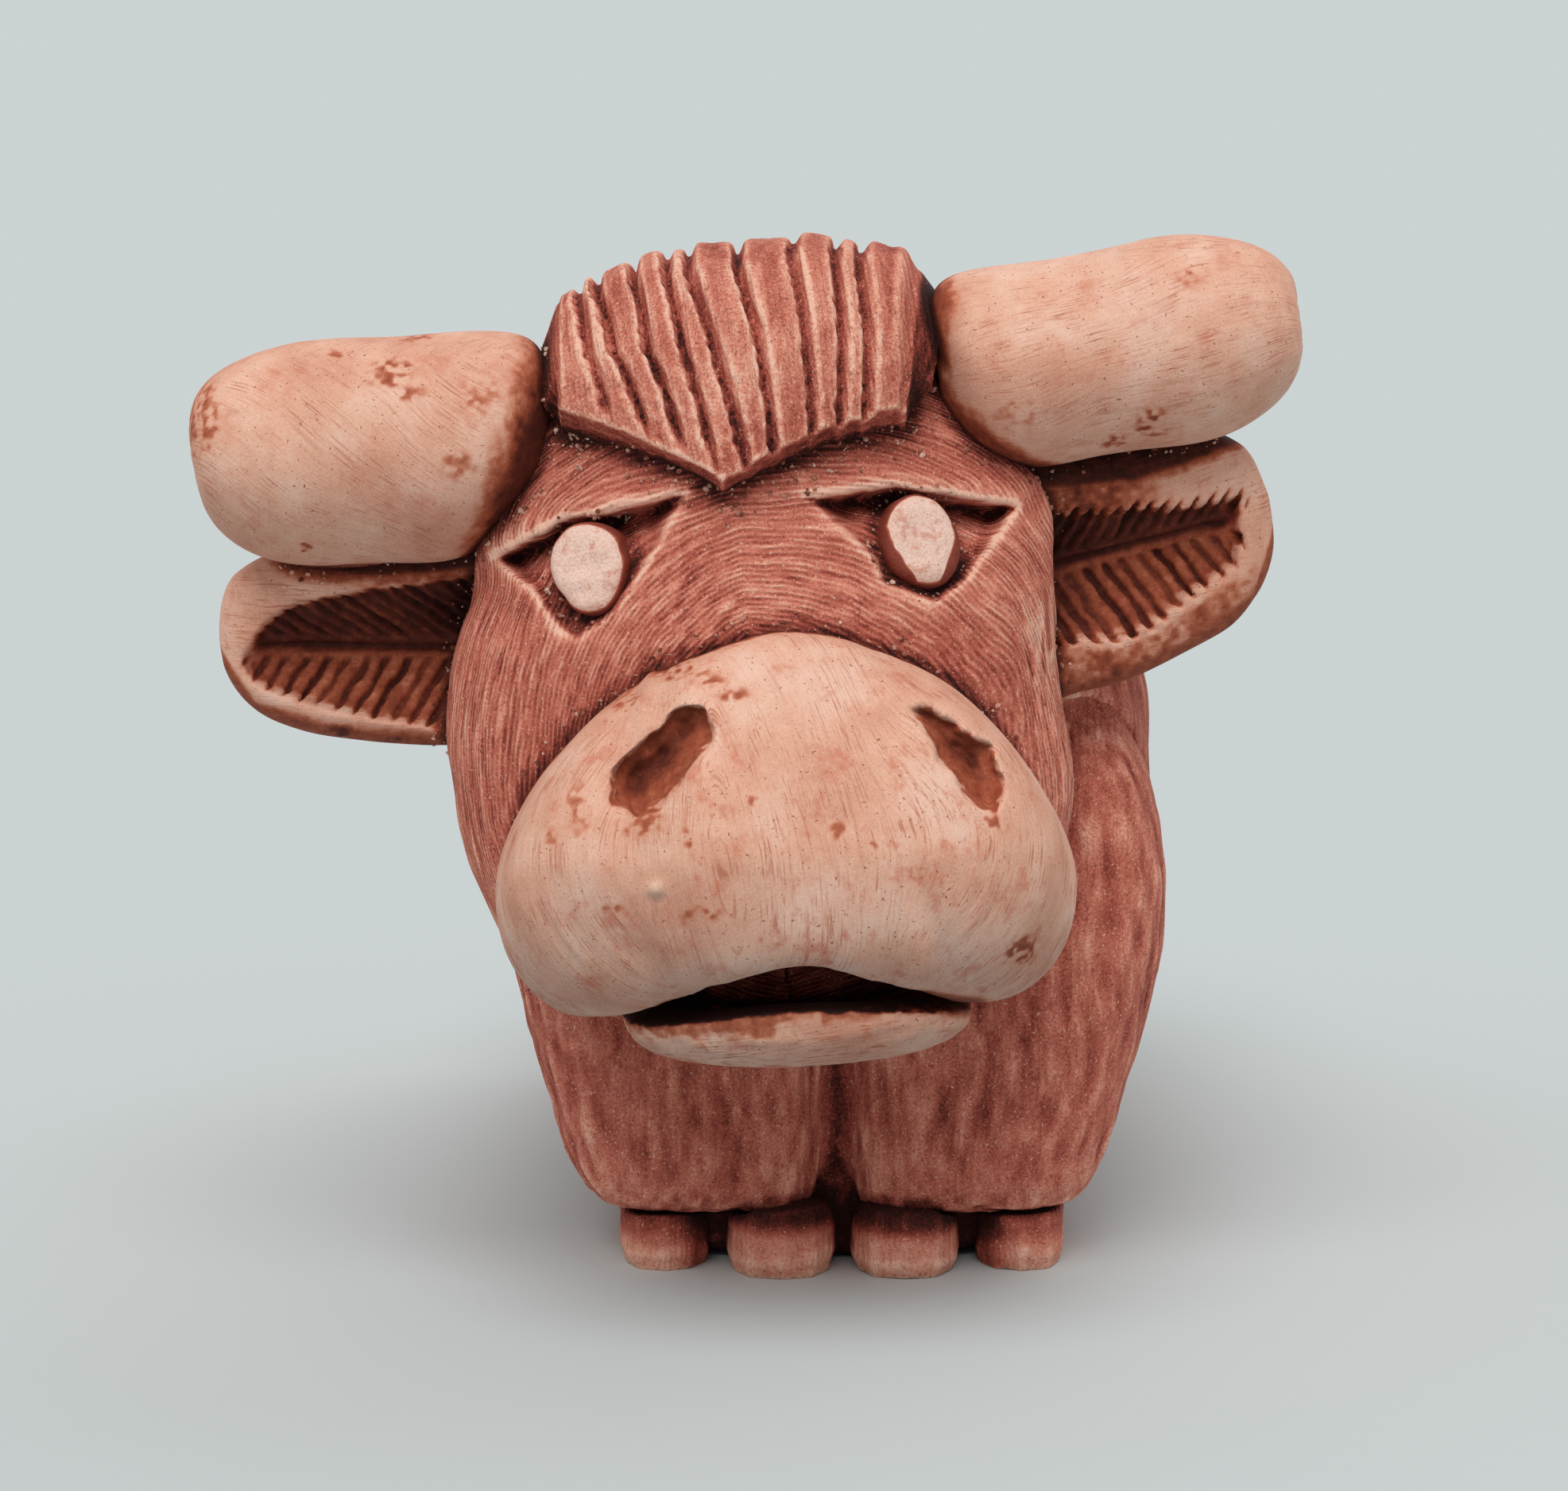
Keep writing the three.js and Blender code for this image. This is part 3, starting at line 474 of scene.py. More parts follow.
def evened(mesh, voxel, smooth=0):
    """The mesh made again of even small faces, then smoothed by that many passes."""
    work = bpy.data.objects.new("work", mesh)
    bpy.context.scene.collection.objects.link(work)
    remesh = work.modifiers.new("even", "REMESH")
    remesh.mode = "VOXEL"
    remesh.voxel_size = voxel * MM
    if smooth:
        soft = work.modifiers.new("soft", "SMOOTH")
        soft.factor = 0.5
        soft.iterations = smooth
    graph = bpy.context.evaluated_depsgraph_get()
    made = bpy.data.meshes.new_from_object(work.evaluated_get(graph))
    bpy.data.objects.remove(work)
    bpy.data.meshes.remove(mesh)
    return made


def relaxed(mesh, points, passes):
    """The points after that many passes of averaging with their neighbours."""
    pairs = np.empty(len(mesh.edges) * 2, np.int32)
    mesh.edges.foreach_get("vertices", pairs)
    one, other = pairs[0::2], pairs[1::2]
    count = len(points)
    degree = np.bincount(one, minlength=count) + np.bincount(other, minlength=count)
    for _ in range(passes):
        total = np.stack([
            np.bincount(one, points[other, axis], count) + np.bincount(other, points[one, axis], count)
            for axis in range(3)
        ], axis=1)
        points = 0.5 * points + 0.5 * total / degree[:, None]
    return points


def relief(mesh, passes):
    """How far each vertex lies below its softened surroundings, in millimetres: negative on edges."""
    points = points_of(mesh)
    return ((relaxed(mesh, points, passes) - points) * normals_of(mesh)).sum(axis=1)


def globe(around, along, place):
    """A closed form on a globe grid whose poles lie along Y. place turns pole, ring and angle into points."""
    steps = np.linspace(0, math.pi, along + 1)[1:-1]
    turns = np.linspace(0, 2 * math.pi, around, endpoint=False)
    step, turn = (grid.ravel() for grid in np.meshgrid(steps, turns, indexing="ij"))
    pole = np.concatenate([[-1.0], -np.cos(step), [1.0]])
    ring = np.concatenate([[0.0], np.sin(step), [0.0]])
    angle = np.concatenate([[0.0], turn, [0.0]])
    points = place(pole, ring, angle)
    rows = along - 1
    last = len(points) - 1
    faces = []
    for column in range(around):
        after = (column + 1) % around
        faces.append((0, 1 + after, 1 + column))
        for row in range(rows - 1):
            a, b = 1 + row * around + column, 1 + row * around + after
            faces.append((a, b, b + around, a + around))
        end = 1 + (rows - 1) * around
        faces.append((last, end + column, end + after))
    return points, faces


def copy_of_node(node):
    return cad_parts[node].data.copy()


# The head's frame


def turning(axis, degrees):
    c, s = math.cos(math.radians(degrees)), math.sin(math.radians(degrees))
    if axis == "x":
        return np.array([[1, 0, 0], [0, c, -s], [0, s, c]])
    if axis == "y":
        return np.array([[c, 0, s], [0, 1, 0], [-s, 0, c]])
    return np.array([[c, -s, 0], [s, c, 0], [0, 0, 1]])


HEAD_TURNING = turning("z", HEAD_TURN) @ turning("y", -HEAD_TILT)
MUZZLE_TURNING = turning("y", MUZZLE_TWIST)


def to_head(points):
    return (points - np.array(HEAD_AT)) @ HEAD_TURNING


def from_head(points):
    return points @ HEAD_TURNING.T + np.array(HEAD_AT)


def in_head(mesh):
    """The mesh's points in the head's frame."""
    return to_head(points_of(mesh))


def facing_in_head(mesh):
    """Its normals in the head's frame."""
    return normals_of(mesh) @ HEAD_TURNING


def from_muzzle(points):
    """From the muzzle's frame, turned back against the head's tilt, to the head's frame."""
    shift = np.array([MUZZLE_SIDEWAYS - MOUTH_MIDDLE_X, 0, -MOUTH_Z])
    return (points + shift) @ MUZZLE_TURNING.T + np.array([MOUTH_MIDDLE_X, 0, MOUTH_Z])


def face_y(x, z):
    rise = np.where(z > 0, FACE_SLOPE * z, 0.06 * z)
    mouth = MOUTH_SETBACK * smoothstep(-z, HEAD_CHIN * 0.55, HEAD_CHIN * 0.8)
    wedge = FACE_WEDGE * (np.abs(x - RIDGE_X) / (HEAD_WIDTH / 2)) ** 1.25
    return -NOSE_RIDGE + rise + mouth + wedge


# Finishing a piece: strokes now, seams and materials once all pieces are there

PIECES = []


def keep(name, mesh, node, slot, material, grain, strokes=(), stain=0.0, wear=0.0):
    """Carves strokes along the grain and keeps the piece for dressing."""
    points = points_of(mesh)
    lift = np.zeros(len(points))
    for size, length, depth, seed in strokes:
        lift += depth * jitter(grain, (size, length, 1.0), seed)
    set_points(mesh, points + normals_of(mesh) * lift[:, None])
    full = np.zeros(len(points))
    PIECES.append({
        "name": name, "mesh": mesh, "node": node, "slot": slot, "material": material,
        "grain": grain, "stain": full + stain, "wear": full + wear,
    })


def is_one_of(index, starts):
    return PIECES[index]["name"].startswith(starts)


def nearness(index, trees, boxes, counts):
    """1 on points that touch another piece that counts, falling to 0 at the seam's reach."""
    points = points_of(PIECES[index]["mesh"])
    away = np.full(len(points), SEAM_REACH)
    low, high = points.min(axis=0), points.max(axis=0)
    for other, tree in enumerate(trees):
        other_low, other_high = boxes[other]
        if other == index or (low > other_high + SEAM_REACH).any() or (high < other_low - SEAM_REACH).any():
            continue
        if not counts(other):
            continue
        near = (points > other_low - SEAM_REACH).all(axis=1) & (points < other_high + SEAM_REACH).all(axis=1)
        for place in np.flatnonzero(near):
            found = tree.find_nearest(points[place], away[place])
            if found[3] is not None:
                away[place] = found[3]
    return 1 - away / SEAM_REACH


def find_seams():
    trees, boxes = [], []
    for piece in PIECES:
        points = points_of(piece["mesh"])
        faces = [tuple(face.vertices) for face in piece["mesh"].polygons]
        trees.append(BVHTree.FromPolygons(points.tolist(), faces))
        boxes.append((points.min(axis=0), points.max(axis=0)))
    for index, piece in enumerate(PIECES):
        in_body = is_one_of(index, ONE_BODY)
        piece["seam"] = nearness(
            index, trees, boxes, lambda other: not (in_body and is_one_of(other, ONE_BODY)),
        )
        piece["joint"] = nearness(index, trees, boxes, lambda other: in_body and is_one_of(other, JOINED))


def dress(piece):
    """Keeps the maps that the materials read, and adds the piece to the scene."""
    mesh = piece["mesh"]
    put(mesh, "grain", piece["grain"])
    smoothed_over = 1 - piece["joint"]
    put(mesh, "fine_relief", relief(mesh, FINE_PASSES) * smoothed_over)
    put(mesh, "broad_relief", relief(mesh, BROAD_PASSES) * smoothed_over)
    # How far each vertex faces down: the buff clays paint shade on it
    put(mesh, "underside", smoothstep(-normals_of(mesh)[:, 2], -0.2, 0.8))
    for name in ("stain", "wear", "seam"):
        put(mesh, name, piece[name])
    mesh.polygons.foreach_set("use_smooth", np.ones(len(mesh.polygons), bool))
    add_piece(piece["name"], mesh, piece["node"], piece["material"])


def add_piece(name, mesh, node, material):
    mesh.materials.clear()
    mesh.materials.append(material)
    piece = bpy.data.objects.new(name, mesh)
    bpy.context.scene.collection.objects.link(piece)
    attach(piece, "root")
    if node:
        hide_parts(node)


# Materials


def linear(red, green, blue):
    """A colour written as it is seen, from 0 to 255, in the shader's own scale."""
    def one(value):
        share = value / 255
        return share / 12.92 if share <= 0.04045 else ((share + 0.055) / 1.055) ** 2.4
    return (one(red), one(green), one(blue), 1.0)


class Shade:
    """Short words for building a material's nodes."""

    def __init__(self, name):
        self.material = bpy.data.materials.new(name)
        self.material.use_nodes = True
        self.tree = self.material.node_tree
        self.shader = self.tree.nodes["Principled BSDF"]

    def join(self, value, socket):
        if isinstance(value, bpy.types.NodeSocket):
            self.tree.links.new(value, socket)
        else:
            socket.default_value = value

    def attribute(self, name, vector=False):
        node = self.tree.nodes.new("ShaderNodeAttribute")
        node.attribute_name = name
        return node.outputs["Vector" if vector else "Fac"]

    def place(self):
        """The place on the object, in millimetres."""
        source = self.tree.nodes.new("ShaderNodeTexCoord").outputs["Object"]
        return self.scaled(source, (1 / MM,) * 3)

    def scaled(self, vector, factors):
        node = self.tree.nodes.new("ShaderNodeVectorMath")
        node.operation = "MULTIPLY"
        self.join(vector, node.inputs[0])
        node.inputs[1].default_value = factors
        return node.outputs[0]

    def noise(self, vector, size, detail=2.0, roughness=0.55):
        """Noise whose features are about size long, one size for all axes or three."""
        node = self.tree.nodes.new("ShaderNodeTexNoise")
        sizes = (size,) * 3 if isinstance(size, float) else size
        self.join(self.scaled(vector, tuple(1 / length for length in sizes)), node.inputs["Vector"])
        node.inputs["Scale"].default_value = 1.0
        node.inputs["Detail"].default_value = detail
        node.inputs["Roughness"].default_value = roughness
        return node.outputs["Fac"]

    def math(self, operation, a, b=0.0, c=0.0, clamp=False):
        node = self.tree.nodes.new("ShaderNodeMath")
        node.operation = operation
        node.use_clamp = clamp
        for socket, value in zip(node.inputs, (a, b, c)):
            self.join(value, socket)
        return node.outputs[0]

    def span(self, value, low, high, to_low=0.0, to_high=1.0):
        node = self.tree.nodes.new("ShaderNodeMapRange")
        node.interpolation_type = "SMOOTHSTEP"
        for name, entry in (("Value", value), ("From Min", low), ("From Max", high),
                            ("To Min", to_low), ("To Max", to_high)):
            self.join(entry, node.inputs[name])
        return node.outputs["Result"]

    def ramp(self, value, tones):
        """Colours that follow the value, from tones given as (value, colour)."""
        node = self.tree.nodes.new("ShaderNodeValToRGB")
        elements = node.color_ramp.elements
        stops = [(position, linear(*colour)) for position, colour in tones]
        elements[0].position, elements[0].color = stops[0]
        elements[1].position, elements[1].color = stops[-1]
        for position, colour in stops[1:-1]:
            elements.new(position).color = colour
        self.join(value, node.inputs["Fac"])
        return node.outputs["Color"]

    def mix(self, share, a, b, blend="MIX"):
        node = self.tree.nodes.new("ShaderNodeMix")
        node.data_type = "RGBA"
        node.blend_type = blend
        self.join(share, node.inputs["Factor"])
        self.join(a, node.inputs[6])
        self.join(b, node.inputs[7])
        return node.outputs[2]

    def finish(self, colour, height, depth, rough):
        bump_node = self.tree.nodes.new("ShaderNodeBump")
        bump_node.inputs["Strength"].default_value = 1.0
        bump_node.inputs["Distance"].default_value = depth * MM
        self.join(height, bump_node.inputs["Height"])
        self.join(colour, self.shader.inputs["Base Color"])
        self.join(rough, self.shader.inputs["Roughness"])
        self.join(bump_node.outputs[0], self.shader.inputs["Normal"])
        self.shader.inputs["Specular IOR Level"].default_value = 0.22
        return self.material


def comb_lines(shade, grain, spacing, length):
    """Even fine lines along the grain, wavering and fading here and there, from -1 to 1."""
    sway = shade.noise(grain, (2.2, length, 1.0), 1.0)
    across = shade.tree.nodes.new("ShaderNodeSeparateXYZ")
    shade.join(grain, across.inputs[0])
    turns = shade.math("MULTIPLY_ADD", sway, 0.9, shade.math("MULTIPLY", across.outputs["X"], 1 / spacing))
    wave = shade.math("SINE", shade.math("MULTIPLY", turns, 2 * math.pi))
    strength = shade.span(shade.noise(grain, (1.4, 0.6 * length, 1.0), 2.0), 0.36, 0.6, 0.25, 1.0)
    return shade.math("MULTIPLY", wave, strength)


def russet_clay(name, light=0.0, comb=0.13, streak=1.0, spacing=0.43, length=3.0, soft=1.0, speckle=1.0):
    """Carved clay with stain left in its strokes: pale on the ridges, dark in the grooves.

    light makes it paler. comb, streak and speckle are the strength of its lines, streaks and spots, soft that of
    its worn edges and filled hollows, and spacing and length the size of its strokes.
    """
    shade = Shade(name)
    place = shade.place()
    grain = shade.attribute("grain", vector=True)
    lines = comb_lines(shade, grain, spacing, length)
    streaks = shade.noise(grain, (1.15 * spacing, 0.8 * length, 1.0), 3.0, 0.65)
    bands = shade.noise(grain, (3.6 * spacing, 1.4 * length, 1.0), 2.0)
    grit = shade.noise(place, 0.2, 2.0, 0.7)
    patches = shade.noise(place, 5.5, 3.0)
    tone = shade.math("MULTIPLY_ADD", lines, comb, 0.40 - light)
    for source, amount in (
        (streaks, -0.62 * streak), (bands, -0.25 * streak), (grit, -0.55 * speckle), (patches, -0.40 * speckle),
    ):
        tone = shade.math("MULTIPLY_ADD", source, amount, shade.math("ADD", tone, -0.5 * amount))
    broken = shade.span(shade.noise(place, 0.34, 2.0), 0.36, 0.62, 0.5, 1.5)
    edges = shade.math("MULTIPLY", shade.attribute("fine_relief"), broken)
    tone = shade.math("MULTIPLY_ADD", edges, 3.6 * soft, tone)
    tone = shade.math("MULTIPLY_ADD", shade.attribute("broad_relief"), 0.9 * soft, tone)
    seam = shade.span(shade.attribute("seam"), 0.45, 0.94)
    tone = shade.math("MULTIPLY_ADD", seam, 0.38, tone)
    tone = shade.math("MULTIPLY_ADD", shade.attribute("stain"), 0.75, tone)
    tone = shade.math("MULTIPLY_ADD", shade.attribute("wear"), -0.5, tone, clamp=True)
    colour = shade.ramp(tone, RUSSET_TONES)
    pits = shade.span(shade.noise(place, (0.30, 0.30, 0.36), 2.0), 0.60, 0.70, 0.0, 0.5)
    colour = shade.mix(pits, colour, linear(112, 48, 38))
    # Pale flecks: partly chalky grit, partly painted glints on the grains; fewer on dark clay
    flecks = shade.noise(shade.scaled(place, (1.0, 1.0, -1.0)), 0.22, 1.0)
    flecks = shade.span(flecks, 0.67, 0.73, 0.0, 0.75)
    flecks = shade.math("MULTIPLY", flecks, shade.span(tone, 0.60, 0.92, 1.0, 0.08))
    colour = shade.mix(flecks, colour, linear(236, 190, 174))
    height = shade.math("MULTIPLY_ADD", lines, -0.22, shade.math("MULTIPLY_ADD", grit, 0.3, streaks))
    return shade.finish(colour, height, 0.20, shade.span(grit, 0.3, 0.7, 0.80, 0.93))


def buff_clay(name, smear=1.0, scratch=1.0, hollows=1.0, underside_shade=0.5):
    """Clay wiped back to pale buff, with specks, scratches and smears of stain.

    hollows is how much stain its hollows hold, and the last argument how much painted shade darkens its
    undersides.
    """
    shade = Shade(name)
    place = shade.place()
    grain = shade.attribute("grain", vector=True)
    scratches = shade.noise(grain, (0.15, 2.6, 1.0), 2.0, 0.65)
    long_marks = shade.noise(grain, (0.34, 7.0, 1.0), 1.0)
    grit = shade.noise(place, 0.2, 2.0, 0.7)
    cloud = shade.noise(place, 6.0, 3.0, 0.6)
    base = shade.ramp(shade.math("MULTIPLY_ADD", grit, 0.35, shade.math("MULTIPLY", cloud, 0.65)), BUFF_TONES)
    where = shade.span(shade.noise(place, 3.6, 3.0, 0.6), 0.40, 0.62, 0.12, 1.0)
    marks = shade.math("MULTIPLY", shade.span(scratches, 0.50, 0.68, 0.0, 0.75 * scratch), where)
    colour = shade.mix(marks, base, linear(186, 104, 78))
    marks = shade.span(long_marks, 0.60, 0.76, 0.0, 0.30 * scratch)
    colour = shade.mix(marks, colour, linear(200, 124, 98))
    smears = shade.noise(place, (2.4, 2.4, 3.0), 4.0, 0.66)
    smears = shade.span(smears, 0.53, 0.72, 0.0, 0.62 * smear)
    colour = shade.mix(smears, colour, linear(208, 116, 88))
    specks = shade.span(shade.noise(place, 0.24, 1.0), 0.69, 0.75, 0.0, 0.8)
    colour = shade.mix(specks, colour, linear(140, 66, 48))
    hollow = shade.math("MULTIPLY", shade.attribute("broad_relief"), 1.0 * hollows, clamp=True)
    hollow = shade.math("MULTIPLY_ADD", shade.attribute("fine_relief"), 4.0, hollow, clamp=True)
    seam = shade.span(shade.attribute("seam"), 0.22, 1.0, 0.0, 0.85)
    stain = shade.math("MAXIMUM", shade.math("MAXIMUM", hollow, seam), shade.attribute("stain"))
    ragged = shade.math("MULTIPLY_ADD", shade.noise(place, 0.8, 4.0, 0.7), 0.55, -0.275)
    stain = shade.math("ADD", stain, shade.math("MULTIPLY", ragged, shade.span(stain, 0.02, 0.3)), clamp=True)
    stained = shade.ramp(stain, BUFF_STAIN_TONES)
    colour = shade.mix(shade.span(stain, 0.02, 0.42), colour, stained)
    colour = shade.mix(shade.attribute("wear"), colour, linear(238, 205, 180))
    # Painted shade: undersides are multiplied towards a cool grey, the more the further they face down
    below = shade.math("MULTIPLY", shade.attribute("underside"), underside_shade)
    colour = shade.mix(below, colour, (0.58, 0.62, 0.66, 1.0), "MULTIPLY")
    height = shade.math("MULTIPLY_ADD", grit, 0.5, shade.math("MULTIPLY", scratches, -0.6))
    return shade.finish(colour, height, 0.09, shade.span(grit, 0.3, 0.7, 0.64, 0.80))


def pale_clay(name):
    """Clay wiped clean on the eyes, with faint smudges."""
    shade = Shade(name)
    place = shade.place()
    grit = shade.noise(place, 0.22, 2.0, 0.7)
    base = shade.ramp(grit, PALE_TONES)
    smudge = shade.span(shade.noise(place, 1.1, 3.0, 0.65), 0.53, 0.68, 0.0, 0.62)
    colour = shade.mix(smudge, base, linear(210, 138, 114))
    specks = shade.span(shade.noise(place, 0.22, 1.0), 0.70, 0.76, 0.0, 0.7)
    colour = shade.mix(specks, colour, linear(150, 78, 60))
    ragged = shade.math("MULTIPLY_ADD", shade.noise(place, 0.5, 3.0, 0.7), 0.5, -0.25)
    stain = shade.math("ADD", shade.attribute("stain"), ragged, clamp=True)
    stained = shade.ramp(stain, PALE_STAIN_TONES)
    colour = shade.mix(shade.span(stain, 0.30, 0.42), colour, stained)
    return shade.finish(colour, grit, 0.09, shade.span(grit, 0.3, 0.7, 0.62, 0.76))


def crumb_clay(name):
    """Loose crumbs, some pale and some stained."""
    shade = Shade(name)
    place = shade.place()
    tone = shade.noise(place, 0.9, 1.0)
    grit = shade.noise(place, 0.12, 1.0)
    colour = shade.ramp(tone, CRUMB_TONES)
    return shade.finish(colour, grit, 0.05, 0.9)


FACE_CLAY = russet_clay("face_clay", light=-0.03)
BODY_CLAY = russet_clay(
    "body_clay", light=-0.10, comb=0.0, streak=0.7, spacing=0.6, length=3.4, soft=0.8, speckle=1.25,
)
HAIR_CLAY = russet_clay("hair_clay", light=0.02, comb=0.0, streak=0.16, length=1.2, soft=1.5, speckle=1.5)
TOE_CLAY = russet_clay("toe_clay", light=0.06, comb=0.0, streak=0.4, length=3.0, soft=0.6)
# The muzzle and lip get the most painted shade on their undersides
MUZZLE_CLAY = buff_clay("muzzle_clay", smear=1.1, underside_shade=1.0)
LIP_CLAY = buff_clay("lip_clay", smear=1.3, scratch=1.5, underside_shade=0.9)
HORN_CLAY = buff_clay("horn_clay", smear=0.6)
EAR_CLAY = buff_clay("ear_clay", smear=0.9, hollows=0.6)
EYE_CLAY = pale_clay("eye_clay")
CRUMB_CLAY = crumb_clay("crumb_clay")


# Head


def head_block():
    outline = mirrored([
        (across * HEAD_WIDTH, up * (HEAD_CROWN if up > 0 else HEAD_CHIN)) for across, up in HEAD_OUTLINE
    ])

    def place(pole, ring, angle):
        full = ring**0.5
        depth = np.abs(pole) ** 0.5
        edge = closed_curve(outline, (angle - math.pi / 2) / (2 * math.pi))
        z = edge[:, 1] * full
        x = edge[:, 0] * full + HEAD_LOPSIDE * smoothstep(-z, -HEAD_CROWN * 0.3, 0)
        nape = HEAD_THROAT_Y + (HEAD_BACK_Y - HEAD_THROAT_Y) * smoothstep(z, THROAT_LOW_Z, THROAT_TOP_Z)
        face = np.where(pole < 0, face_y(x, z), nape)
        return from_head(columns(x, HEAD_SIDE_Y + (face - HEAD_SIDE_Y) * depth, z))

    return mesh_of(*globe(260, 180, place))


def socket_depth(at, side):
    """How deep the socket goes at each point: a shallow floor that drops under the brow."""
    x, z = at[:, 0], at[:, 2]
    wobble = 0.35 * jitter(at, 1.6, 31)
    inside = outline_distance(x, z + wobble, BROWS[side] + SOCKET_LOW[side])
    below_brow = line_distance(x, z, BROWS[side])
    drop = bump(below_brow, 0.6, 1.7) * smoothstep(inside, 0.0, 1.1)
    floor = SOCKET_FLOOR + (SOCKET_DEPTH - SOCKET_FLOOR) * drop
    return floor * smoothstep(inside, -0.05, 0.50) * (at[:, 1] < 0)


def face_grain(at):
    """Strokes arch over the muzzle in a pointed vault, and run down the cheeks, sides and back."""
    x, y, z = at.T
    away = x - RIDGE_X
    spread = np.where(away < 0, VAULT_SPREAD["left"], VAULT_SPREAD["right"]) * away
    spread *= 1 - 0.45 * smoothstep(z, 4.0, 14.0)
    rise = z - VAULT_FOOT_Z
    across = np.hypot(VAULT_POINT + np.abs(spread), rise) + 0.9 * np.maximum(y + 5.5, 0)
    behind = smoothstep(y, -3.0, 4.0)
    across = across * (1 - behind) + (SIDE_STROKES_FROM + y - np.abs(away)) * behind
    across += 0.3 * jitter(at, 2.0, 8) + 1.1 * jitter(at, 6.0, 9)
    along = np.arctan2(spread, rise) * 22.0
    return columns(across, along, 3.0)


def make_head():
    mesh = evened(head_block(), 0.34, 4)
    at = in_head(mesh)
    for side, sign in SIDES.items():
        height, half_height, depth = CHEEK_PARED[side]
        pared = depth * bump(at[:, 2], height, half_height)
        at[:, 0] -= sign * pared * smoothstep(sign * at[:, 0], 14.0, 22.0)
    for side in SIDES:
        above = line_distance(at[:, 0], at[:, 2] - 0.9, BROWS[side])
        at[:, 1] -= BROW_SWELL * bump(above, 0, 1.1) * (at[:, 1] < 0)
        at[:, 1] += socket_depth(at, side)
    set_points(mesh, from_head(at))
    mesh = evened(mesh, 0.28, 1)
    at = in_head(mesh)
    x, y, z = at.T
    mouth = smoothstep(-z, 17.0, 20.0) * (1 - smoothstep(np.abs(x), 13.0, 18.0)) * (y < 3)
    under_fringe = (1 - smoothstep(-above_fringe(at), 0.6, 3.8)) * (np.abs(x) < 14.5) * (z > 8)
    stain = 0.35 * mouth + 0.12 * under_fringe
    stain += 0.12 * smoothstep(z, 13.0, 17.0)
    chipped = smoothstep(noise(at, (0.5, 0.5, 2.0), 32), 0.35, 0.6)
    wear = 0.9 * bump(x, 21.0, 1.6) * bump(z, -4.0, 4.0) * chipped
    for side in SIDES:
        deep = socket_depth(at, side)
        stain += 0.18 * smoothstep(deep, 2.0, 3.8)
        brow = line_distance(x, z - 0.2, BROWS[side])
        wear += 0.85 * (1 - smoothstep(brow, 0.1, BROW_BEVEL)) * (deep < 0.8)
        lower = line_distance(x, z, [BROWS[side][-1]] + SOCKET_LOW[side])
        wear += 0.20 * (1 - smoothstep(lower, 0.1, 0.5)) * (deep < 0.6)
    keep(
        "head_block", mesh, "head", "russet_clay", FACE_CLAY, face_grain(at),
        strokes=[(0.9, 3.4, 0.15, 11), (0.5, 2.2, 0.15, 12)], stain=stain, wear=wear,
    )


def make_eye(side):
    x0, z0 = EYE_AT[side]
    front = float(face_y(np.array([x0]), np.array([z0]))[0]) - EYE_PROUD
    turn = turning("z", EYE_SPLAY[side]) @ turning("x", -EYE_LIFT)

    def place(pole, ring, angle):
        wobble = 1 + 0.04 * np.cos(2 * angle + 1.0) + 0.03 * np.cos(3 * angle + 2.0 * SIDES[side])
        wide = 1 + 0.10 * smoothstep(pole, -0.9, 0.2)
        return columns(
            EYE_WIDTH / 2 * wobble * wide * ring**0.28 * np.cos(angle),
            EYE_LENGTH / 2 * signed_power(pole, 0.22),
            EYE_HEIGHT[side] / 2 * wobble * wide * ring**0.28 * np.sin(angle),
        )

    points, faces = globe(72, 48, place)
    centre = np.array([x0, front + EYE_LENGTH / 2, z0])
    mesh = evened(mesh_of(from_head(points @ turn.T + centre), faces), 0.12, 4)
    at = in_head(mesh)
    local = (at - centre) @ turn
    behind = local[:, 1] + EYE_LENGTH / 2
    stain = smoothstep(behind, 0.25, 0.75)
    if side == "right":
        narrowing = 1 - 0.22 * np.maximum(-local[:, 2] - 0.2, 0)
        edge = np.abs(local[:, 0]) / (EYE_WIDTH * 0.5 * narrowing) + 0.12 * jitter(at, 0.8, 33)
        stain = np.maximum(stain, smoothstep(edge, 0.84, 0.98))
    keep(
        f"eye_pellet_{side}", mesh, f"eye_{side}", "pale_clay", EYE_CLAY, at,
        strokes=[(0.8, 0.8, 0.10, 3), (2.0, 2.0, 0.22, 4)], stain=stain,
    )


# Muzzle and lip


def muzzle_dome():
    outline = mirrored([
        (across * MUZZLE_WIDTH / 2, MUZZLE_TOP_Z - down * MUZZLE_HEIGHT) for across, down in MUZZLE_OUTLINE
    ])
    middle = np.array([0, MUZZLE_TOP_Z - MUZZLE_HEIGHT * 0.5])

    def place(pole, ring, angle):
        full = (ring**0.72)[:, None]
        oval = columns(MUZZLE_WIDTH / 2 * np.cos(angle), MUZZLE_HEIGHT / 2 * np.sin(angle))
        edge = closed_curve(outline, (angle - math.pi / 2) / (2 * math.pi)) - middle
        edge = oval + (edge - oval) * full**4
        x, z = (middle + edge * full).T
        down = (MUZZLE_TOP_Z - z) / MUZZLE_HEIGHT
        edge_y = -(MUZZLE_TOP_Y + (MUZZLE_SIDE_Y - MUZZLE_TOP_Y) * np.abs(x) / (MUZZLE_WIDTH / 2))
        nose = MUZZLE_REACH - MUZZLE_TOP_SETBACK * (1 - np.clip(down / 0.55, 0, 1)) ** 1.4
        lobes = MUZZLE_LOBE * bump(np.abs(x), MUZZLE_WIDTH * 0.27, MUZZLE_WIDTH * 0.16) * np.clip(down, 0, 1)
        target = np.where(pole < 0, -nose - lobes, -MUZZLE_ROOT_Y)
        depth = np.abs(pole) ** np.where(pole < 0, 0.78, 0.5)
        return from_head(from_muzzle(columns(x, edge_y + (target - edge_y) * depth, z)))

    return mesh_of(*globe(300, 200, place))


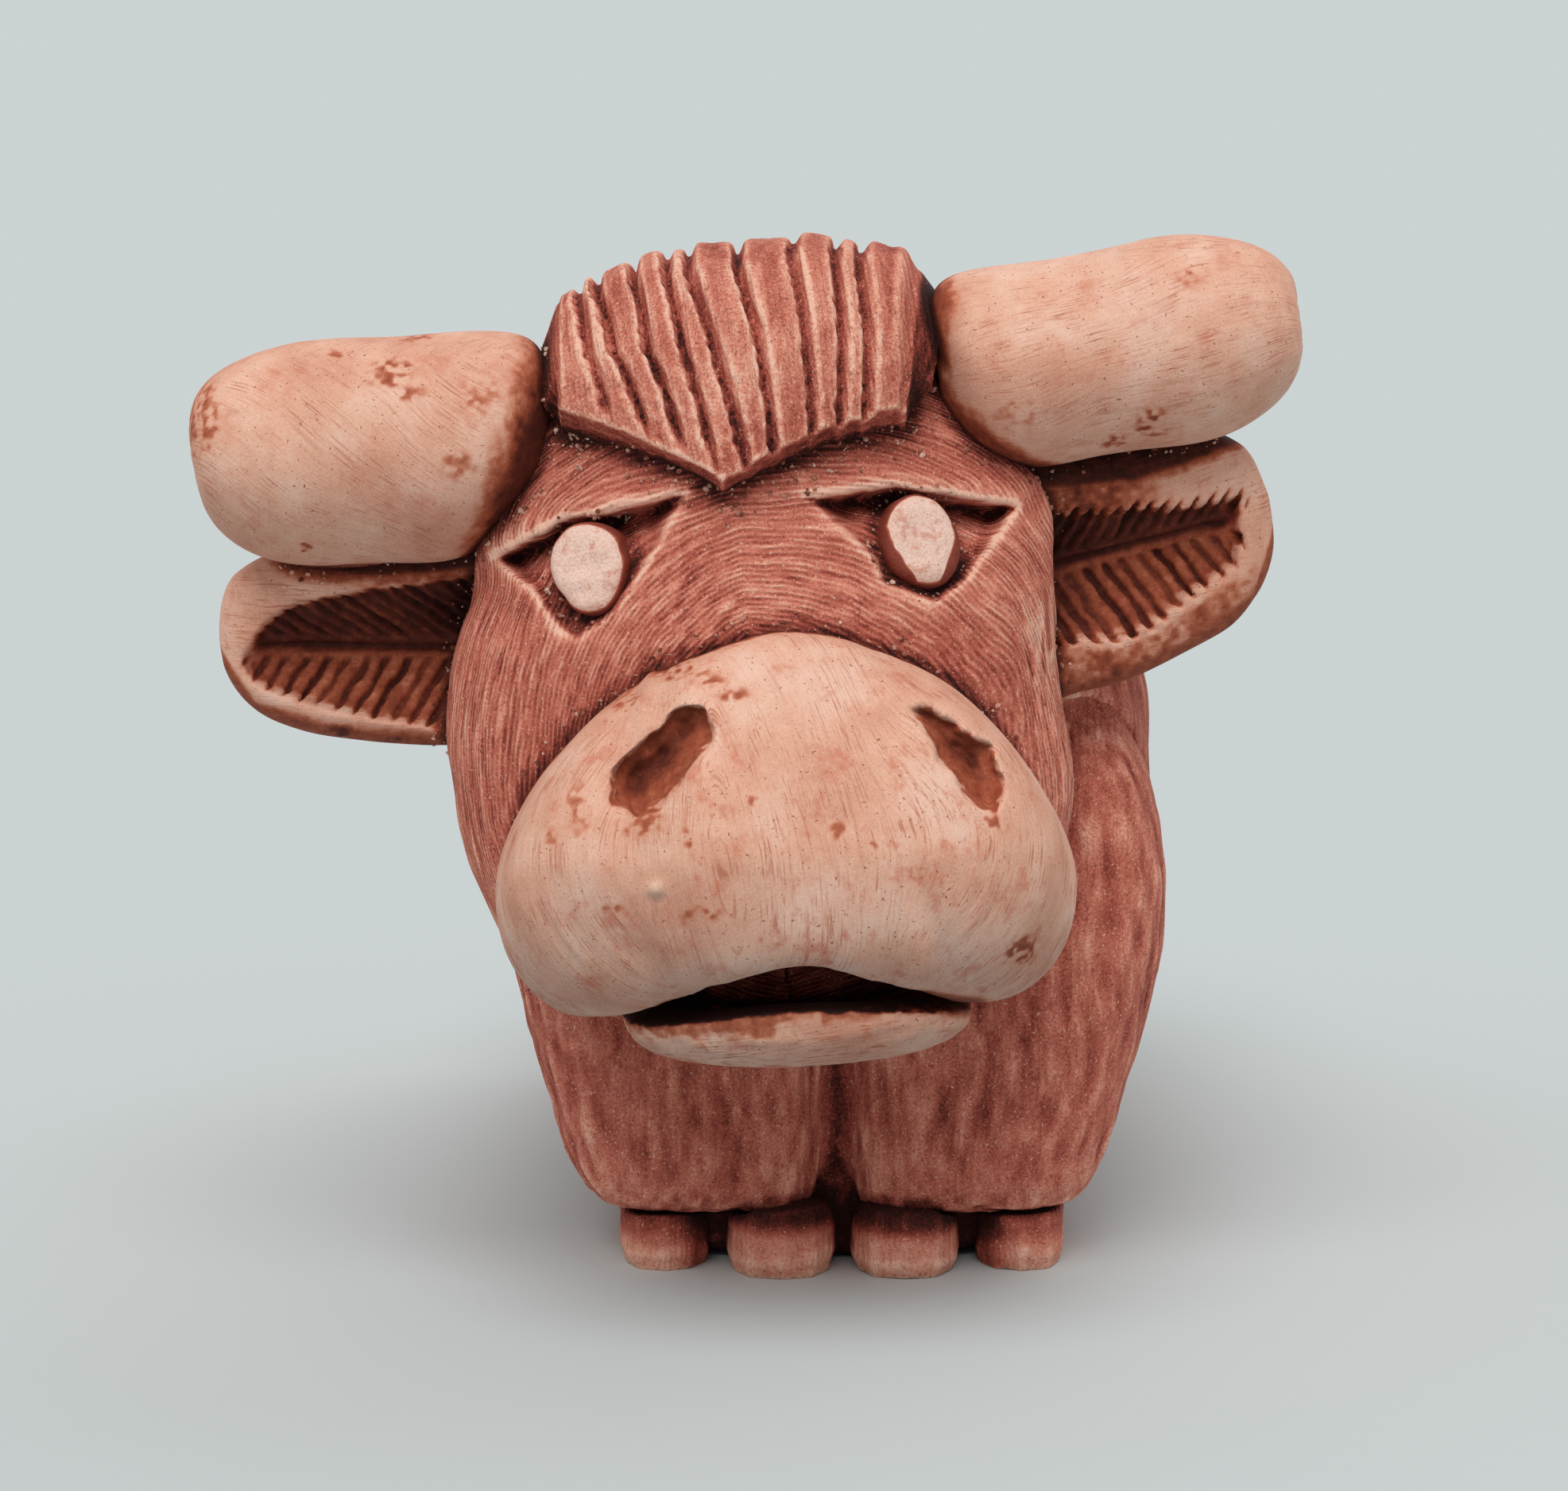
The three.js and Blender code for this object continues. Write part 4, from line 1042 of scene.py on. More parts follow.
def nostril_depth(at, side):
    ragged = 0.6 * jitter(at, 1.1, 21) + 0.35 * jitter(at, 0.5, 22)
    inside = outline_distance(at[:, 0], at[:, 2], NOSTRILS[side]) + ragged
    depth = 0.55 * smoothstep(inside, -0.1, 0.7) + 0.45 * smoothstep(inside, 0.5, 2.4)
    return NOSTRIL_DEPTH * depth * (at[:, 1] < -10)


def make_muzzle():
    mesh = evened(muzzle_dome(), 0.26, 8)
    at = in_head(mesh)
    for side in SIDES:
        at[:, 1] += nostril_depth(at, side)
    wart = np.hypot(at[:, 0] - WART_AT[0], at[:, 2] - WART_AT[1])
    at[:, 1] -= 0.4 * (1 - smoothstep(wart, 0.2, 0.9)) * (at[:, 1] < -10)
    set_points(mesh, from_head(at))
    mesh = evened(mesh, 0.22, 2)
    at = in_head(mesh)
    x, y, z = at.T
    middle_x, middle_z = -0.5, -14.0
    across, up = x - middle_x, z - middle_z
    lobe = smoothstep(np.abs(across), 4.0, 12.0)
    radius = np.hypot(across * 0.8, up)
    turn = np.arctan2(across, np.abs(up) + 0.01)
    grain = columns(
        across * (1 - lobe) + radius * lobe + 0.5 * y,
        up * (1 - lobe) + turn * 14.0 * lobe,
        y * 0.1,
    )
    facing_down = -facing_in_head(mesh)[:, 2]
    roof = 0.62 * smoothstep(facing_down, 0.80, 0.96) * smoothstep(y, -19.0, -16.5)
    roof *= 1 - smoothstep(np.abs(x - MOUTH_MIDDLE_X), 11.0, 13.5)
    stain = np.maximum(roof, spotted(at, MUZZLE_STAINS))
    for side in SIDES:
        deep = nostril_depth(at, side)
        stain = np.maximum(stain, 0.46 * smoothstep(deep, 0.1, 0.9) + 0.24 * smoothstep(deep, 1.8, 3.8))
    wart = np.hypot(x - WART_AT[0], z - WART_AT[1])
    wear = 0.5 * (1 - smoothstep(wart, 0.3, 0.9)) * (y < -10)
    keep(
        "muzzle_dome", mesh, "muzzle", "buff_clay", MUZZLE_CLAY, grain,
        strokes=[(0.8, 6.0, 0.07, 5), (5.0, 7.0, 0.5, 6)], stain=stain, wear=wear,
    )


def make_lip():
    mesh = evened(copy_of_node("lower_lip"), 0.2, 14)
    at = in_head(mesh)
    top = at[:, 2].max()
    facing_up = facing_in_head(mesh)[:, 2]
    ragged = jitter(at, 0.9, 26) + 0.6 * jitter(at, 0.4, 27)
    stain = 0.78 * smoothstep(facing_up + 0.5 * ragged, 0.35, 0.90)
    stain += 0.40 * smoothstep(at[:, 2] + 1.6 * ragged, top - 2.4, top - 0.8)
    keep(
        "lower_lip_bowl", mesh, "lower_lip", "buff_clay", LIP_CLAY, at[:, [2, 0, 1]],
        strokes=[(0.8, 6.0, 0.10, 7)], stain=stain,
    )


# Horns and ears


def make_horn(side):
    sign = SIDES[side]
    length = HORN_REACH[side] - HORN_ROOT_X
    radius = HORN_THICKNESS[side] / 2

    def place(pole, ring, angle):
        blunt = np.where(pole > 0, HORN_TIP_BLUNT, HORN_ROOT_BLUNT)
        along = (signed_power(pole, 0.1 + blunt) + 1) / 2
        waist = 1 - HORN_WAIST[side] * bump(along, 0.36, 0.22) - 0.04 * along
        waist += HORN_WAIST[side] * bump(along, 0.8, 0.2)
        thick = radius * waist * ring**blunt
        low = (1 - np.cos(angle)) / 2
        slant = HORN_ROOT_SLANT[side] * low * ring**blunt + HORN_ROOT_CROWN[side] * (1 - low)
        slant *= (1 - along) ** 1.5
        x = HORN_ROOT_X + along * length + slant
        y = HORN_Y - HORN_FORWARD[side] * along**2 + thick * np.sin(angle)
        z = HORN_Z[side] + HORN_TIP_RISE[side] * along**2 + thick * np.cos(angle)
        return from_head(columns(sign * x, y, z))

    mesh = evened(mesh_of(*globe(160, 140, place)), 0.24, 8)
    at = in_head(mesh)
    out = sign * at[:, 0]
    around = np.arctan2(at[:, 1] - HORN_Y, at[:, 2] - HORN_Z[side])
    skew = 0.8 if side == "left" else 0.15
    across = np.abs(around + 0.6) * radius + skew * (out - HORN_ROOT_X) + 2.0 * jitter(at, 7.0, 14)
    grain = columns(across, out, 3.0)
    low = (1 - np.cos(around)) / 2
    start, slant, power, crown = HORN_GROOVE[side]
    past = out - start - slant * low**power - crown * (1 - smoothstep(low, 0.0, 0.5))
    past += 0.9 * jitter(at, 1.4, 15) + 0.6 * jitter(at, 0.5, 16)
    peak, reach = HORN_ROOT_STAIN[side]
    stain = peak * (1 - 0.45 * smoothstep(past, -0.7, 0.5) - 0.55 * smoothstep(past, 0.2, reach))
    stain = np.maximum(stain, spotted(at, HORN_STAINS[side]))
    keep(
        f"horn_roll_{side}", mesh, f"horn_{side}", "buff_clay", HORN_CLAY, grain,
        strokes=[(0.9, 9.0, 0.05, 8), (8.0, 8.0, 0.8, 9)], stain=stain,
    )


def ear_outline(side):
    """The leaf's outline as (outwards, up)."""
    reach, top, drop = EAR_REACH[side], EAR_TOP[side], EAR_DROP[side]
    root = EAR_ROOT_X
    span = reach - root
    return [
        (root, top * 0.95), (root + span * 0.35, top * 0.94), (root + span * 0.72, top * 1.0),
        (root + span * 0.93, top * 0.82), (reach, top * 0.12), (root + span * 0.9, -drop * 0.42),
        (root + span * 0.64, -drop * 0.78), (root + span * 0.3, -drop), (root, -drop * 1.02), (root - 1, 0),
    ]


def ear_strokes(at, side, inside):
    """Cut depth, from 0 to 1, of the strokes that slant away from the cup's spine on both sides."""
    out = SIDES[side] * at[:, 0]
    x0, z0, x1, z1 = EAR_SPINE[side]
    above = at[:, 2] - (z0 + (out - x0) * (z1 - z0) / (x1 - x0))
    strokes = EAR_STROKES[side]
    cut = bump(above, -0.2, 0.35) * smoothstep(inside, 0.3, 1.5)
    wander = 0.30 * jitter(at, 1.5, 18) + 0.10 * jitter(at, 0.5, 24)
    for half, facing in enumerate((above > 0, above <= 0)):
        away = np.abs(above)
        phase = (out + strokes["lean"][half] * away) / strokes["pitch"][half] + wander
        number = np.floor(phase)
        uneven = ((number * 0.618) % 1.0 - 0.5) * 0.3
        off = np.abs(phase - number - 0.5 + uneven * 0.4)
        past = strokes["past"][half]
        taper = smoothstep(inside, -past - 0.05, -past + 0.9)
        start = smoothstep(away, 0.25 + 0.5 * half, 0.9 + 0.5 * half)
        width = 0.10 + 0.13 * taper
        keen = 0.45 + 0.55 * ((number * 0.7548) % 1.0)
        line = (1 - smoothstep(off, width * 0.45, width * 1.35)) * taper * start * keen
        cut = np.maximum(cut, np.where(facing, line, 0))
    return cut, above


def make_ear(side):
    sign = SIDES[side]
    outline = ear_outline(side)
    middle = np.array([(EAR_ROOT_X + EAR_REACH[side]) / 2, 0])

    def place(pole, ring, angle):
        edge = closed_curve(outline, (math.pi - angle) / (2 * math.pi)) - middle
        full = (ring**0.6)[:, None]
        out, up = (middle + edge * full).T
        y = EAR_Y + EAR_THICKNESS / 2 * signed_power(pole, 0.6)
        return from_head(columns(sign * out, y, up))

    mesh = evened(mesh_of(*globe(200, 90, place)), 0.26, 4)
    at = in_head(mesh)
    cup_edge = closed_curve(EAR_CUPS[side], np.linspace(0, 1, 90, endpoint=False))
    wobble = 0.3 * jitter(at, 1.2, 17)
    inside = outline_distance(sign * at[:, 0], at[:, 2] + wobble, cup_edge)
    front = at[:, 1] < EAR_Y - 0.5
    hollow = 0.42 * smoothstep(inside, 0.0, 0.8) + 0.58 * smoothstep(inside, 0.4, 5.0)
    at[:, 1] += EAR_CUP_DEPTH * hollow * front
    set_points(mesh, from_head(at))
    mesh = evened(mesh, 0.18, 1)
    at = in_head(mesh)
    inside = outline_distance(sign * at[:, 0], at[:, 2], cup_edge)
    facing = smoothstep(-facing_in_head(mesh)[:, 1], -0.1, 0.25)
    cut, above = ear_strokes(at, side, inside)
    cut = cut * facing
    set_points(mesh, points_of(mesh) - normals_of(mesh) * (EAR_STROKE_DEPTH * cut)[:, None])
    out = sign * at[:, 0]
    grain = columns(above, out, 2.0)
    rough = jitter(at, 1.3, 19) + 0.6 * jitter(at, 0.5, 20)
    in_cup = smoothstep(inside + 0.5 * rough, -0.15, 0.8) * facing
    upper = smoothstep(above, -0.3, 0.3)
    # Stain in the cup, with its upper half under the top rim darker as painted shade
    floor_tone = 0.46 + 0.26 * upper + 0.18 * smoothstep(28 - out, 0, 6) + 0.18 * rough
    stain = in_cup * floor_tone + (0.95 - floor_tone * in_cup) * cut * 0.9
    low_rim = EAR_LOW_RIM[side] * smoothstep(-inside, -0.2, 1.4) * smoothstep(41 - out, 0, 5)
    top_rim = EAR_TOP_RIM[side] * smoothstep(35 - out, 0, 9)
    rim = (1 - in_cup) * (top_rim * upper + low_rim * (1 - upper))
    stain = np.maximum(stain, rim * (1 + 1.2 * rough))
    stain = np.maximum(stain, 0.50 * smoothstep(-over_lower_edge(side, out, at[:, 2]), -2.0, -0.6))
    stain = np.maximum(stain, 0.75 * smoothstep(EAR_ROOT_X + 5.0 - out, 0, 2.5))
    # The top edge under the horn darkens: stain, and painted shadow of the horn
    above_rim = at[:, 2] - np.interp(out, *EAR_RIM_LINE[side]) + 0.3 * rough
    stained_and_shaded_top = 0.40 * smoothstep(above_rim, -0.8, 0.1) + 0.50 * smoothstep(above_rim, 0.0, 0.7)
    stain = np.maximum(stain, stained_and_shaded_top)
    keep(
        f"ear_leaf_{side}", mesh, f"ear_{side}", "buff_clay", EAR_CLAY, grain,
        strokes=[(1.0, 5.0, 0.08, 10), (4.0, 4.0, 0.35, 11)], stain=stain,
    )


def over_lower_edge(side, out, up):
    """Height over the leaf's lower outline, whose corners come last but one to fifth in the outline."""
    return up - np.interp(out, *zip(*ear_outline(side)[8:3:-1]))


# Forelock


def fringe(across):
    """The fringe's line as (x, z) at shares from -1 at its left corner to 1 at its right one."""
    (left_x, left_z), (tip_x, tip_z), (right_x, right_z) = FRINGE_LEFT, FRINGE_TIP, FRINGE_RIGHT
    middle_x, half = (left_x + right_x) / 2, (right_x - left_x) / 2
    x = middle_x + half * across
    leftwards = np.clip((tip_x - x) / (tip_x - left_x), 0, 1)
    rightwards = np.clip((x - tip_x) / (right_x - tip_x), 0, 1)
    z = tip_z + (left_z - tip_z) * leftwards**0.85 + (right_z - tip_z) * (1 - (1 - rightwards) ** 2.0)
    return x, z


def above_fringe(at):
    """Height of each point above the fringe's line."""
    return at[:, 2] - np.interp(at[:, 0], *fringe(np.linspace(-1, 1, 60)))


def hair_point(across, along, lift):
    """A point over the crown: across from -1 to 1, along from the fringe to the nape, lifted off the skull."""
    fringe_x, fringe_z = fringe(across)
    top_x = HAIR_TOP_HALF_WIDTH * across + HAIR_SIDEWAYS
    top_z = HAIR_TOP_Z - HAIR_THICKNESS - HAIR_SIDE_DROP * np.abs(across) ** 2.6
    front_y = face_y(fringe_x + RIDGE_X, fringe_z)
    stops = [
        (fringe_x, front_y, fringe_z),
        (fringe_x + (top_x - fringe_x) * 0.7, front_y, top_z + HAIR_FRONT_ARCH),
        (top_x, HEAD_BACK_Y * 0.62, top_z + HAIR_ARCH),
        (top_x, HEAD_BACK_Y + HAIR_OVERHANG, HAIR_BACK_Z),
    ]
    weights = ((1 - along) ** 3, 3 * along * (1 - along) ** 2, 3 * along**2 * (1 - along), along**3)
    at = sum(weight[:, None] * columns(*stop) for weight, stop in zip(weights, stops))
    outward = at - columns(at[:, 0] * 0.55, 3.0, 6.0)
    outward /= np.linalg.norm(outward, axis=1)[:, None]
    return at + outward * lift[:, None]


def locks(across, along, nicks):
    """How deep the grooves cut, from 0 to 1, and how each lock's top leans."""
    cut = np.zeros_like(across)
    lean = np.zeros_like(across)
    edges = [np.full_like(across, LOCK_SIDES[0])]
    for low, middle, top in LOCK_GROOVES:
        edges.append(np.interp(along, GROOVE_STOPS, (low, middle, top)))
    edges.append(np.full_like(across, LOCK_SIDES[1]))
    half = (FRINGE_RIGHT[0] - FRINGE_LEFT[0]) / 2
    for index, edge in enumerate(edges[1:-1]):
        past = (across - edge) * half
        steep = 1 - smoothstep(-past - 0.13 * nicks, 0.0, 0.36)
        gentle = 1 - smoothstep(past, 0.10, 0.80)
        groove = np.where(past < 0, steep, gentle) * (0.8 + 0.4 * ((index * 0.37) % 1))
        if index < GROOVES_SHORT_OF_FRINGE:
            groove *= smoothstep(along, 0.005, 0.05)
        cut = np.maximum(cut, groove)
    for index, (left, right) in enumerate(zip(edges[:-1], edges[1:])):
        share = np.clip((across - left) / np.maximum(right - left, 0.02), 0, 1)
        rise = 0.12 if index % 2 else -0.08
        inside = (across >= left) & (across < right)
        lean = np.where(inside, 0.22 * (0.5 - share) * (1 if index > 3 else -1) + rise, lean)
    return cut, lean


def hair_turn(at):
    """The angle over the crown, from the nape to the fringe."""
    middle_y, middle_z = HAIR_TURNS_ABOUT
    return np.arctan2(at[:, 2] - middle_z, at[:, 1] - middle_y)


def lock_end(at, sign):
    """Where the hair's top ends across, on one side, beside each point."""
    end = hair_point(np.full(80, float(sign)), np.linspace(1, 0, 80), np.full(80, 1.4))
    return np.interp(hair_turn(at), hair_turn(end), end[:, 0])


def combed_surface(across, along):
    """The hair's outer surface, with its grooves, strokes, dents and the raised rim of the right lock."""
    on_sheet = columns(across * HAIR_SHEET_WIDTH, along * HAIR_SHEET_LENGTH, 0.0)
    nicks = smoothstep(noise(on_sheet, (0.8, 0.45, 1.0), 42), 0.45, 0.8)
    nicks += 0.8 * jitter(on_sheet, (0.5, 0.25, 1.0), 44)
    cut, lean = locks(across + 0.022 * jitter(on_sheet, 4.0, 41), along, nicks)
    strokes = 0.06 * jitter(on_sheet, (0.5, 3.0, 1.0), 43)
    dents = 0.14 * jitter(on_sheet, (1.4, 2.2, 1.0), 45)
    left_end, right_end = LOCK_SIDES
    side_drop = 0.8 * smoothstep(across, right_end + 0.01, 0.985) + 0.5 * smoothstep(-across, -left_end, 0.99)
    rim = 0.32 * bump(across, right_end - 0.015, 0.035) * smoothstep(along, 0.05, 0.2)
    lift = HAIR_THICKNESS - LOCK_GROOVE_DEPTH * cut + lean + strokes + dents + rim - side_drop
    return hair_point(across, along, lift)


def tucked_surface(across, along, surface):
    """Where the hair's edge runs down to: wide at its flanks, and tucked back under the fringe."""
    base = hair_point(across, along, np.full_like(across, -HAIR_SUNK))
    base[:, 0] += HAIR_FLANK * np.sign(across) * (np.abs(across) > 0.999)
    bevel = np.interp(across, FRINGE_BEVEL_AT, FRINGE_BEVEL)
    tucked = surface + columns(0.0, FRINGE_TUCK, -bevel)
    share = smoothstep(along, 0.0, 0.13)[:, None]
    return tucked * (1 - share) + base * share


def closed_cap(sheet, base, shape, inner):
    """A closed form: a sheet, a skirt from its border to the base's, and a fan to an inner point."""
    grid = np.arange(len(sheet)).reshape(shape)
    corners = (grid[:-1, :-1], grid[:-1, 1:], grid[1:, 1:], grid[1:, :-1])
    faces = columns(*(corner.ravel() for corner in corners)).tolist()
    ring = border = np.concatenate([grid[0, :-1], grid[:-1, -1], grid[-1, :0:-1], grid[:0:-1, 0]])
    points = [sheet]
    for step in range(1, HAIR_SKIRT + 1):
        points.append(sheet[border] + (base[border] - sheet[border]) * step / HAIR_SKIRT)
        fresh = len(sheet) + (step - 1) * len(border) + np.arange(len(border))
        faces += columns(np.roll(ring, -1), ring, fresh, np.roll(fresh, -1)).tolist()
        ring = fresh
    points.append(np.array([inner]))
    faces += columns(np.roll(ring, -1), ring, ring[-1] + 1).tolist()
    return np.concatenate(points), faces


def make_forelock():
    shape = (HAIR_ROWS + 1, HAIR_COLUMNS + 1)
    sides = np.linspace(0, 1, shape[0]), np.linspace(-1, 1, shape[1])
    along, across = (grid.ravel() for grid in np.meshgrid(*sides, indexing="ij"))
    surface = combed_surface(across, along)
    points, faces = closed_cap(surface, tucked_surface(across, along, surface), shape, HAIR_INNER_POINT)
    mesh = evened(mesh_of(from_head(points), faces), 0.19, 1)
    at = in_head(mesh)
    x, y, z = at.T
    under = smoothstep(-facing_in_head(mesh)[:, 2], 0.35, 0.7)
    above = above_fringe(at)
    lip = (1 - smoothstep(np.abs(above - 0.9), 0.2, 0.8)) * (1 - under)
    wear = 0.45 * lip * (x < -2) * (y < 0)
    stain = under * (0.34 * (1 - smoothstep(-above, 0.3, 1.9)) - 0.16)
    for side, sign in SIDES.items():
        stain += HAIR_FLANK_STAIN[side] * smoothstep(sign * (x - lock_end(at, sign)), -0.1, 0.5)
    stain += 0.10 * smoothstep(z, 21.5, 28.0) + 0.16 * (1 - smoothstep(z, 12.0, 19.5))
    keep(
        "forelock_locks", mesh, "forelock", "russet_clay", HAIR_CLAY, columns(x, z - y, 4.0),
        strokes=[(0.6, 0.6, 0.10, 13)], stain=stain, wear=wear,
    )


# Body




def make_torso():
    """The body block, with strokes that run down its sides and ends and over its back."""
    mesh = evened(copy_of_node("torso"), 0.48, 12)
    at = points_of(mesh)
    y, z = at[:, 1], at[:, 2]
    off = np.abs(at[:, 0] - BODY_MIDDLE_X)
    sway = 1.0 * jitter(at, 9.0, 50)
    round_ends = (BODY_HALF_WIDTH - off) * smoothstep(np.abs(y), 16.0, 52.0)
    along = np.arctan2(np.hypot(off, 4.0), z - 30) * 26
    grain = columns(np.sign(y) * (np.abs(y) + round_ends) + sway, along, sway)
    keep(
        "torso_block", mesh, "torso", "russet_clay", BODY_CLAY, grain,
        strokes=[(1.7, 4.6, 0.36, 51), (0.9, 2.8, 0.24, 52)],
    )


def make_leg(place, side):
    node = f"leg_{place}_{side}"
    mesh = evened(copy_of_node(node), 0.40, 14)
    at = points_of(mesh)
    at += normals_of(mesh) * (JOINT_FILL * smoothstep(at[:, 2], 13.0, 20.0))[:, None]
    inner = 1 - smoothstep(SIDES[side] * (at[:, 0] - BODY_MIDDLE_X), 0.5, 8.0)
    at[:, 2] -= LEG_CORNER_DROP * inner * (1 - smoothstep(at[:, 2], 5.0, 10.5))
    set_points(mesh, at)
    sway = 0.8 * jitter(at, 9.0, 60)
    grain = columns(at[:, 0] + sway, at[:, 2], at[:, 1] / BODY_STROKE + sway)
    keep(
        f"{node}_column", mesh, node, "russet_clay", BODY_CLAY, grain,
        strokes=[(1.7, 4.6, 0.34, 61), (0.9, 2.8, 0.24, 62)],
    )


def make_luting():
    """Clay pressed into the joints of body and legs: their common form, set in a little, with creases filled."""
    points, faces = [], []
    total = 0
    for piece in PIECES:
        if piece["name"].startswith(JOINED):
            mesh = piece["mesh"]
            points.append(points_of(mesh) + normals_of(mesh) * LUTING_REACH)
            faces.extend(tuple(total + corner for corner in face.vertices) for face in mesh.polygons)
            total += len(mesh.vertices)
    mesh = evened(mesh_of(np.concatenate(points), faces), 0.6, 8)
    set_points(mesh, points_of(mesh) - normals_of(mesh) * (LUTING_REACH + LUTING_INSET))
    at = points_of(mesh)
    sway = 0.8 * jitter(at, 9.0, 60)
    grain = columns(at[:, 1] + sway, at[:, 2], at[:, 0] / BODY_STROKE + sway)
    keep("luting_clay", mesh, None, "russet_clay", BODY_CLAY, grain)




def make_foot(place):
    """The clay that a pair of legs stands on, set back behind its toes, darkened all over as painted shade
    between the feet.
    """
    start, end = FOOT_DEPTHS[place]

    def block(pole, ring, angle):
        return columns(
            BODY_MIDDLE_X + FOOT_HALF_WIDTH * ring**0.3 * signed_power(np.cos(angle), 0.45),
            (start + end) / 2 + (end - start) / 2 * signed_power(pole, 0.4),
            FOOT_TOP / 2 * (1 + ring**0.3 * signed_power(np.sin(angle), 0.45)),
        )

    mesh = evened(mesh_of(*globe(96, 48, block)), 0.4, 3)
    at = points_of(mesh)
    # Its stain is painted shade: it keeps the gap between the feet dark
    keep(
        f"foot_{place}_core", mesh, None, "russet_clay", BODY_CLAY, at,
        strokes=[(1.8, 3.0, 0.3, 65)], stain=0.5,
    )


def make_toe(place, side, where):
    node = f"toe_{place}_{side}_{where}"
    mesh = evened(copy_of_node(node), 0.25, 8)
    at = points_of(mesh)
    at[:, 2] = np.where(at[:, 2] < 0.25, 0.0, at[:, 2])
    set_points(mesh, at)
    top = at[:, 2].max()
    stain = 0.9 * smoothstep(at[:, 2], top - 2.9, top - 1.1)
    if where == "outer":
        inwards = SIDES[side] * ((at[:, 0].min() + at[:, 0].max()) / 2 - at[:, 0])
        stain = 0.4 * stain + 0.6 * smoothstep(inwards, 0.9, 2.6)
    keep(
        f"{node}_lump", mesh, node, "russet_clay", TOE_CLAY, at,
        strokes=[(1.6, 1.6, 0.22, 71)], stain=stain, wear=0.25 * (1 - smoothstep(at[:, 2], 1.0, 3.4)),
    )


def make_tail():
    for node in ("tail", "tail_tuft"):
        mesh = evened(copy_of_node(node), 0.25, 8)
        at = points_of(mesh)
        grain = columns(at[:, 0] + 0.5 * at[:, 1], at[:, 2], at[:, 1] * 0.2)
        keep(f"{node}_roll", mesh, node, "russet_clay", BODY_CLAY, grain, strokes=[(1.0, 8.0, 0.5, 81)])


# Crumbs



def crumb_places(chance):
    """Points on the pieces where crumbs lie, each with its normal: in seams that stay open to the air."""
    found = []
    for piece in PIECES:
        if piece["name"] not in CRUMB_SEAMS:
            continue
        low, high, share = CRUMB_SEAMS[piece["name"]]
        points, normals = points_of(piece["mesh"]), normals_of(piece["mesh"])
        at = to_head(points)
        open_seam = (piece["seam"] > low) & (piece["seam"] < high) & (at[:, 2] > CRUMB_THROAT_Z)
        likely = CRUMB_CHANCE * share * open_seam
        if piece["name"] == "head_block":
            below = -above_fringe(at)
            under = (below > -0.5) & (below < 3.0) & (np.abs(at[:, 0]) < 13.5) & (at[:, 1] < 0)
            likely = np.maximum(likely, 0.14 * under * (1 - np.abs(below - 0.6) / 3.0))
        lying = chance.random(len(points)) < likely
        found.append(np.concatenate([points[lying], normals[lying]], axis=1))
    return np.concatenate(found)


def make_crumbs():
    chance = np.random.default_rng(17)
    places = crumb_places(chance)
    points, faces = [], []
    for number, row in enumerate(places):
        size = CRUMB_SIZE[0] + (CRUMB_SIZE[1] - CRUMB_SIZE[0]) * chance.random() ** 2.5
        shape = CRUMB_CORNERS * size * (0.6 + 0.8 * chance.random(3))
        shape = shape * (0.75 + 0.5 * chance.random((len(CRUMB_CORNERS), 1)))
        turn, _ = np.linalg.qr(chance.standard_normal((3, 3)))
        if np.linalg.det(turn) < 0:
            turn[:, 0] *= -1
        points.append(shape @ turn.T + row[:3] + row[3:] * size * 0.35)
        first = number * len(CRUMB_CORNERS)
        faces.extend((first + a, first + b, first + c) for a, b, c in CRUMB_FACES)
    mesh = mesh_of(np.concatenate(points), faces)
    add_piece("clay_crumbs", mesh, None, CRUMB_CLAY)


make_head()
make_muzzle()
make_lip()
make_forelock()
for side_name in SIDES:
    make_eye(side_name)
    make_horn(side_name)
    make_ear(side_name)
    for leg_place in ("front", "rear"):
        make_leg(leg_place, side_name)
        for toe_where in ("inner", "outer"):
            make_toe(leg_place, side_name, toe_where)
make_torso()
make_luting()
for foot_place in FOOT_DEPTHS:
    make_foot(foot_place)
make_tail()
find_seams()
make_crumbs()
for kept_piece in PIECES:
    dress(kept_piece)


# Floor, light and camera



def sun_share(source, strength):
    """How much light a sun lamp puts on the floor, where 1 shows a colour as it is written."""
    return strength * source.normalized().z / math.pi


FLOOR_LIGHT = ROOM_STRENGTH + sun_share(KEY_FROM, KEY_STRENGTH) + sun_share(BACK_FROM, BACK_STRENGTH)


def make_floor():
    """A wide pale floor. The backdrop has the colour of the lit floor, so that the floor has no visible end."""
    corners = ((-1, -1), (1, -1), (1, 1), (-1, 1))
    points = [(FLOOR_HALF * x, FLOOR_HALF * y, -FLOOR_DROP) for x, y in corners]
    mesh = mesh_of(points, [(0, 1, 2, 3)])
    shade = Shade("floor_paint")
    fog = shade.noise(shade.place(), 1.2, 2.0)
    colour = shade.mix(shade.span(fog, 0.3, 0.7, 0.0, 0.06), linear(*FLOOR_COLOUR), linear(*FLOOR_FOG))
    shade.finish(colour, fog, 0.01, 1.0)
    shade.shader.inputs["Specular IOR Level"].default_value = 0.0
    mesh.materials.append(shade.material)
    floor = bpy.data.objects.new("floor", mesh)
    bpy.context.scene.collection.objects.link(floor)


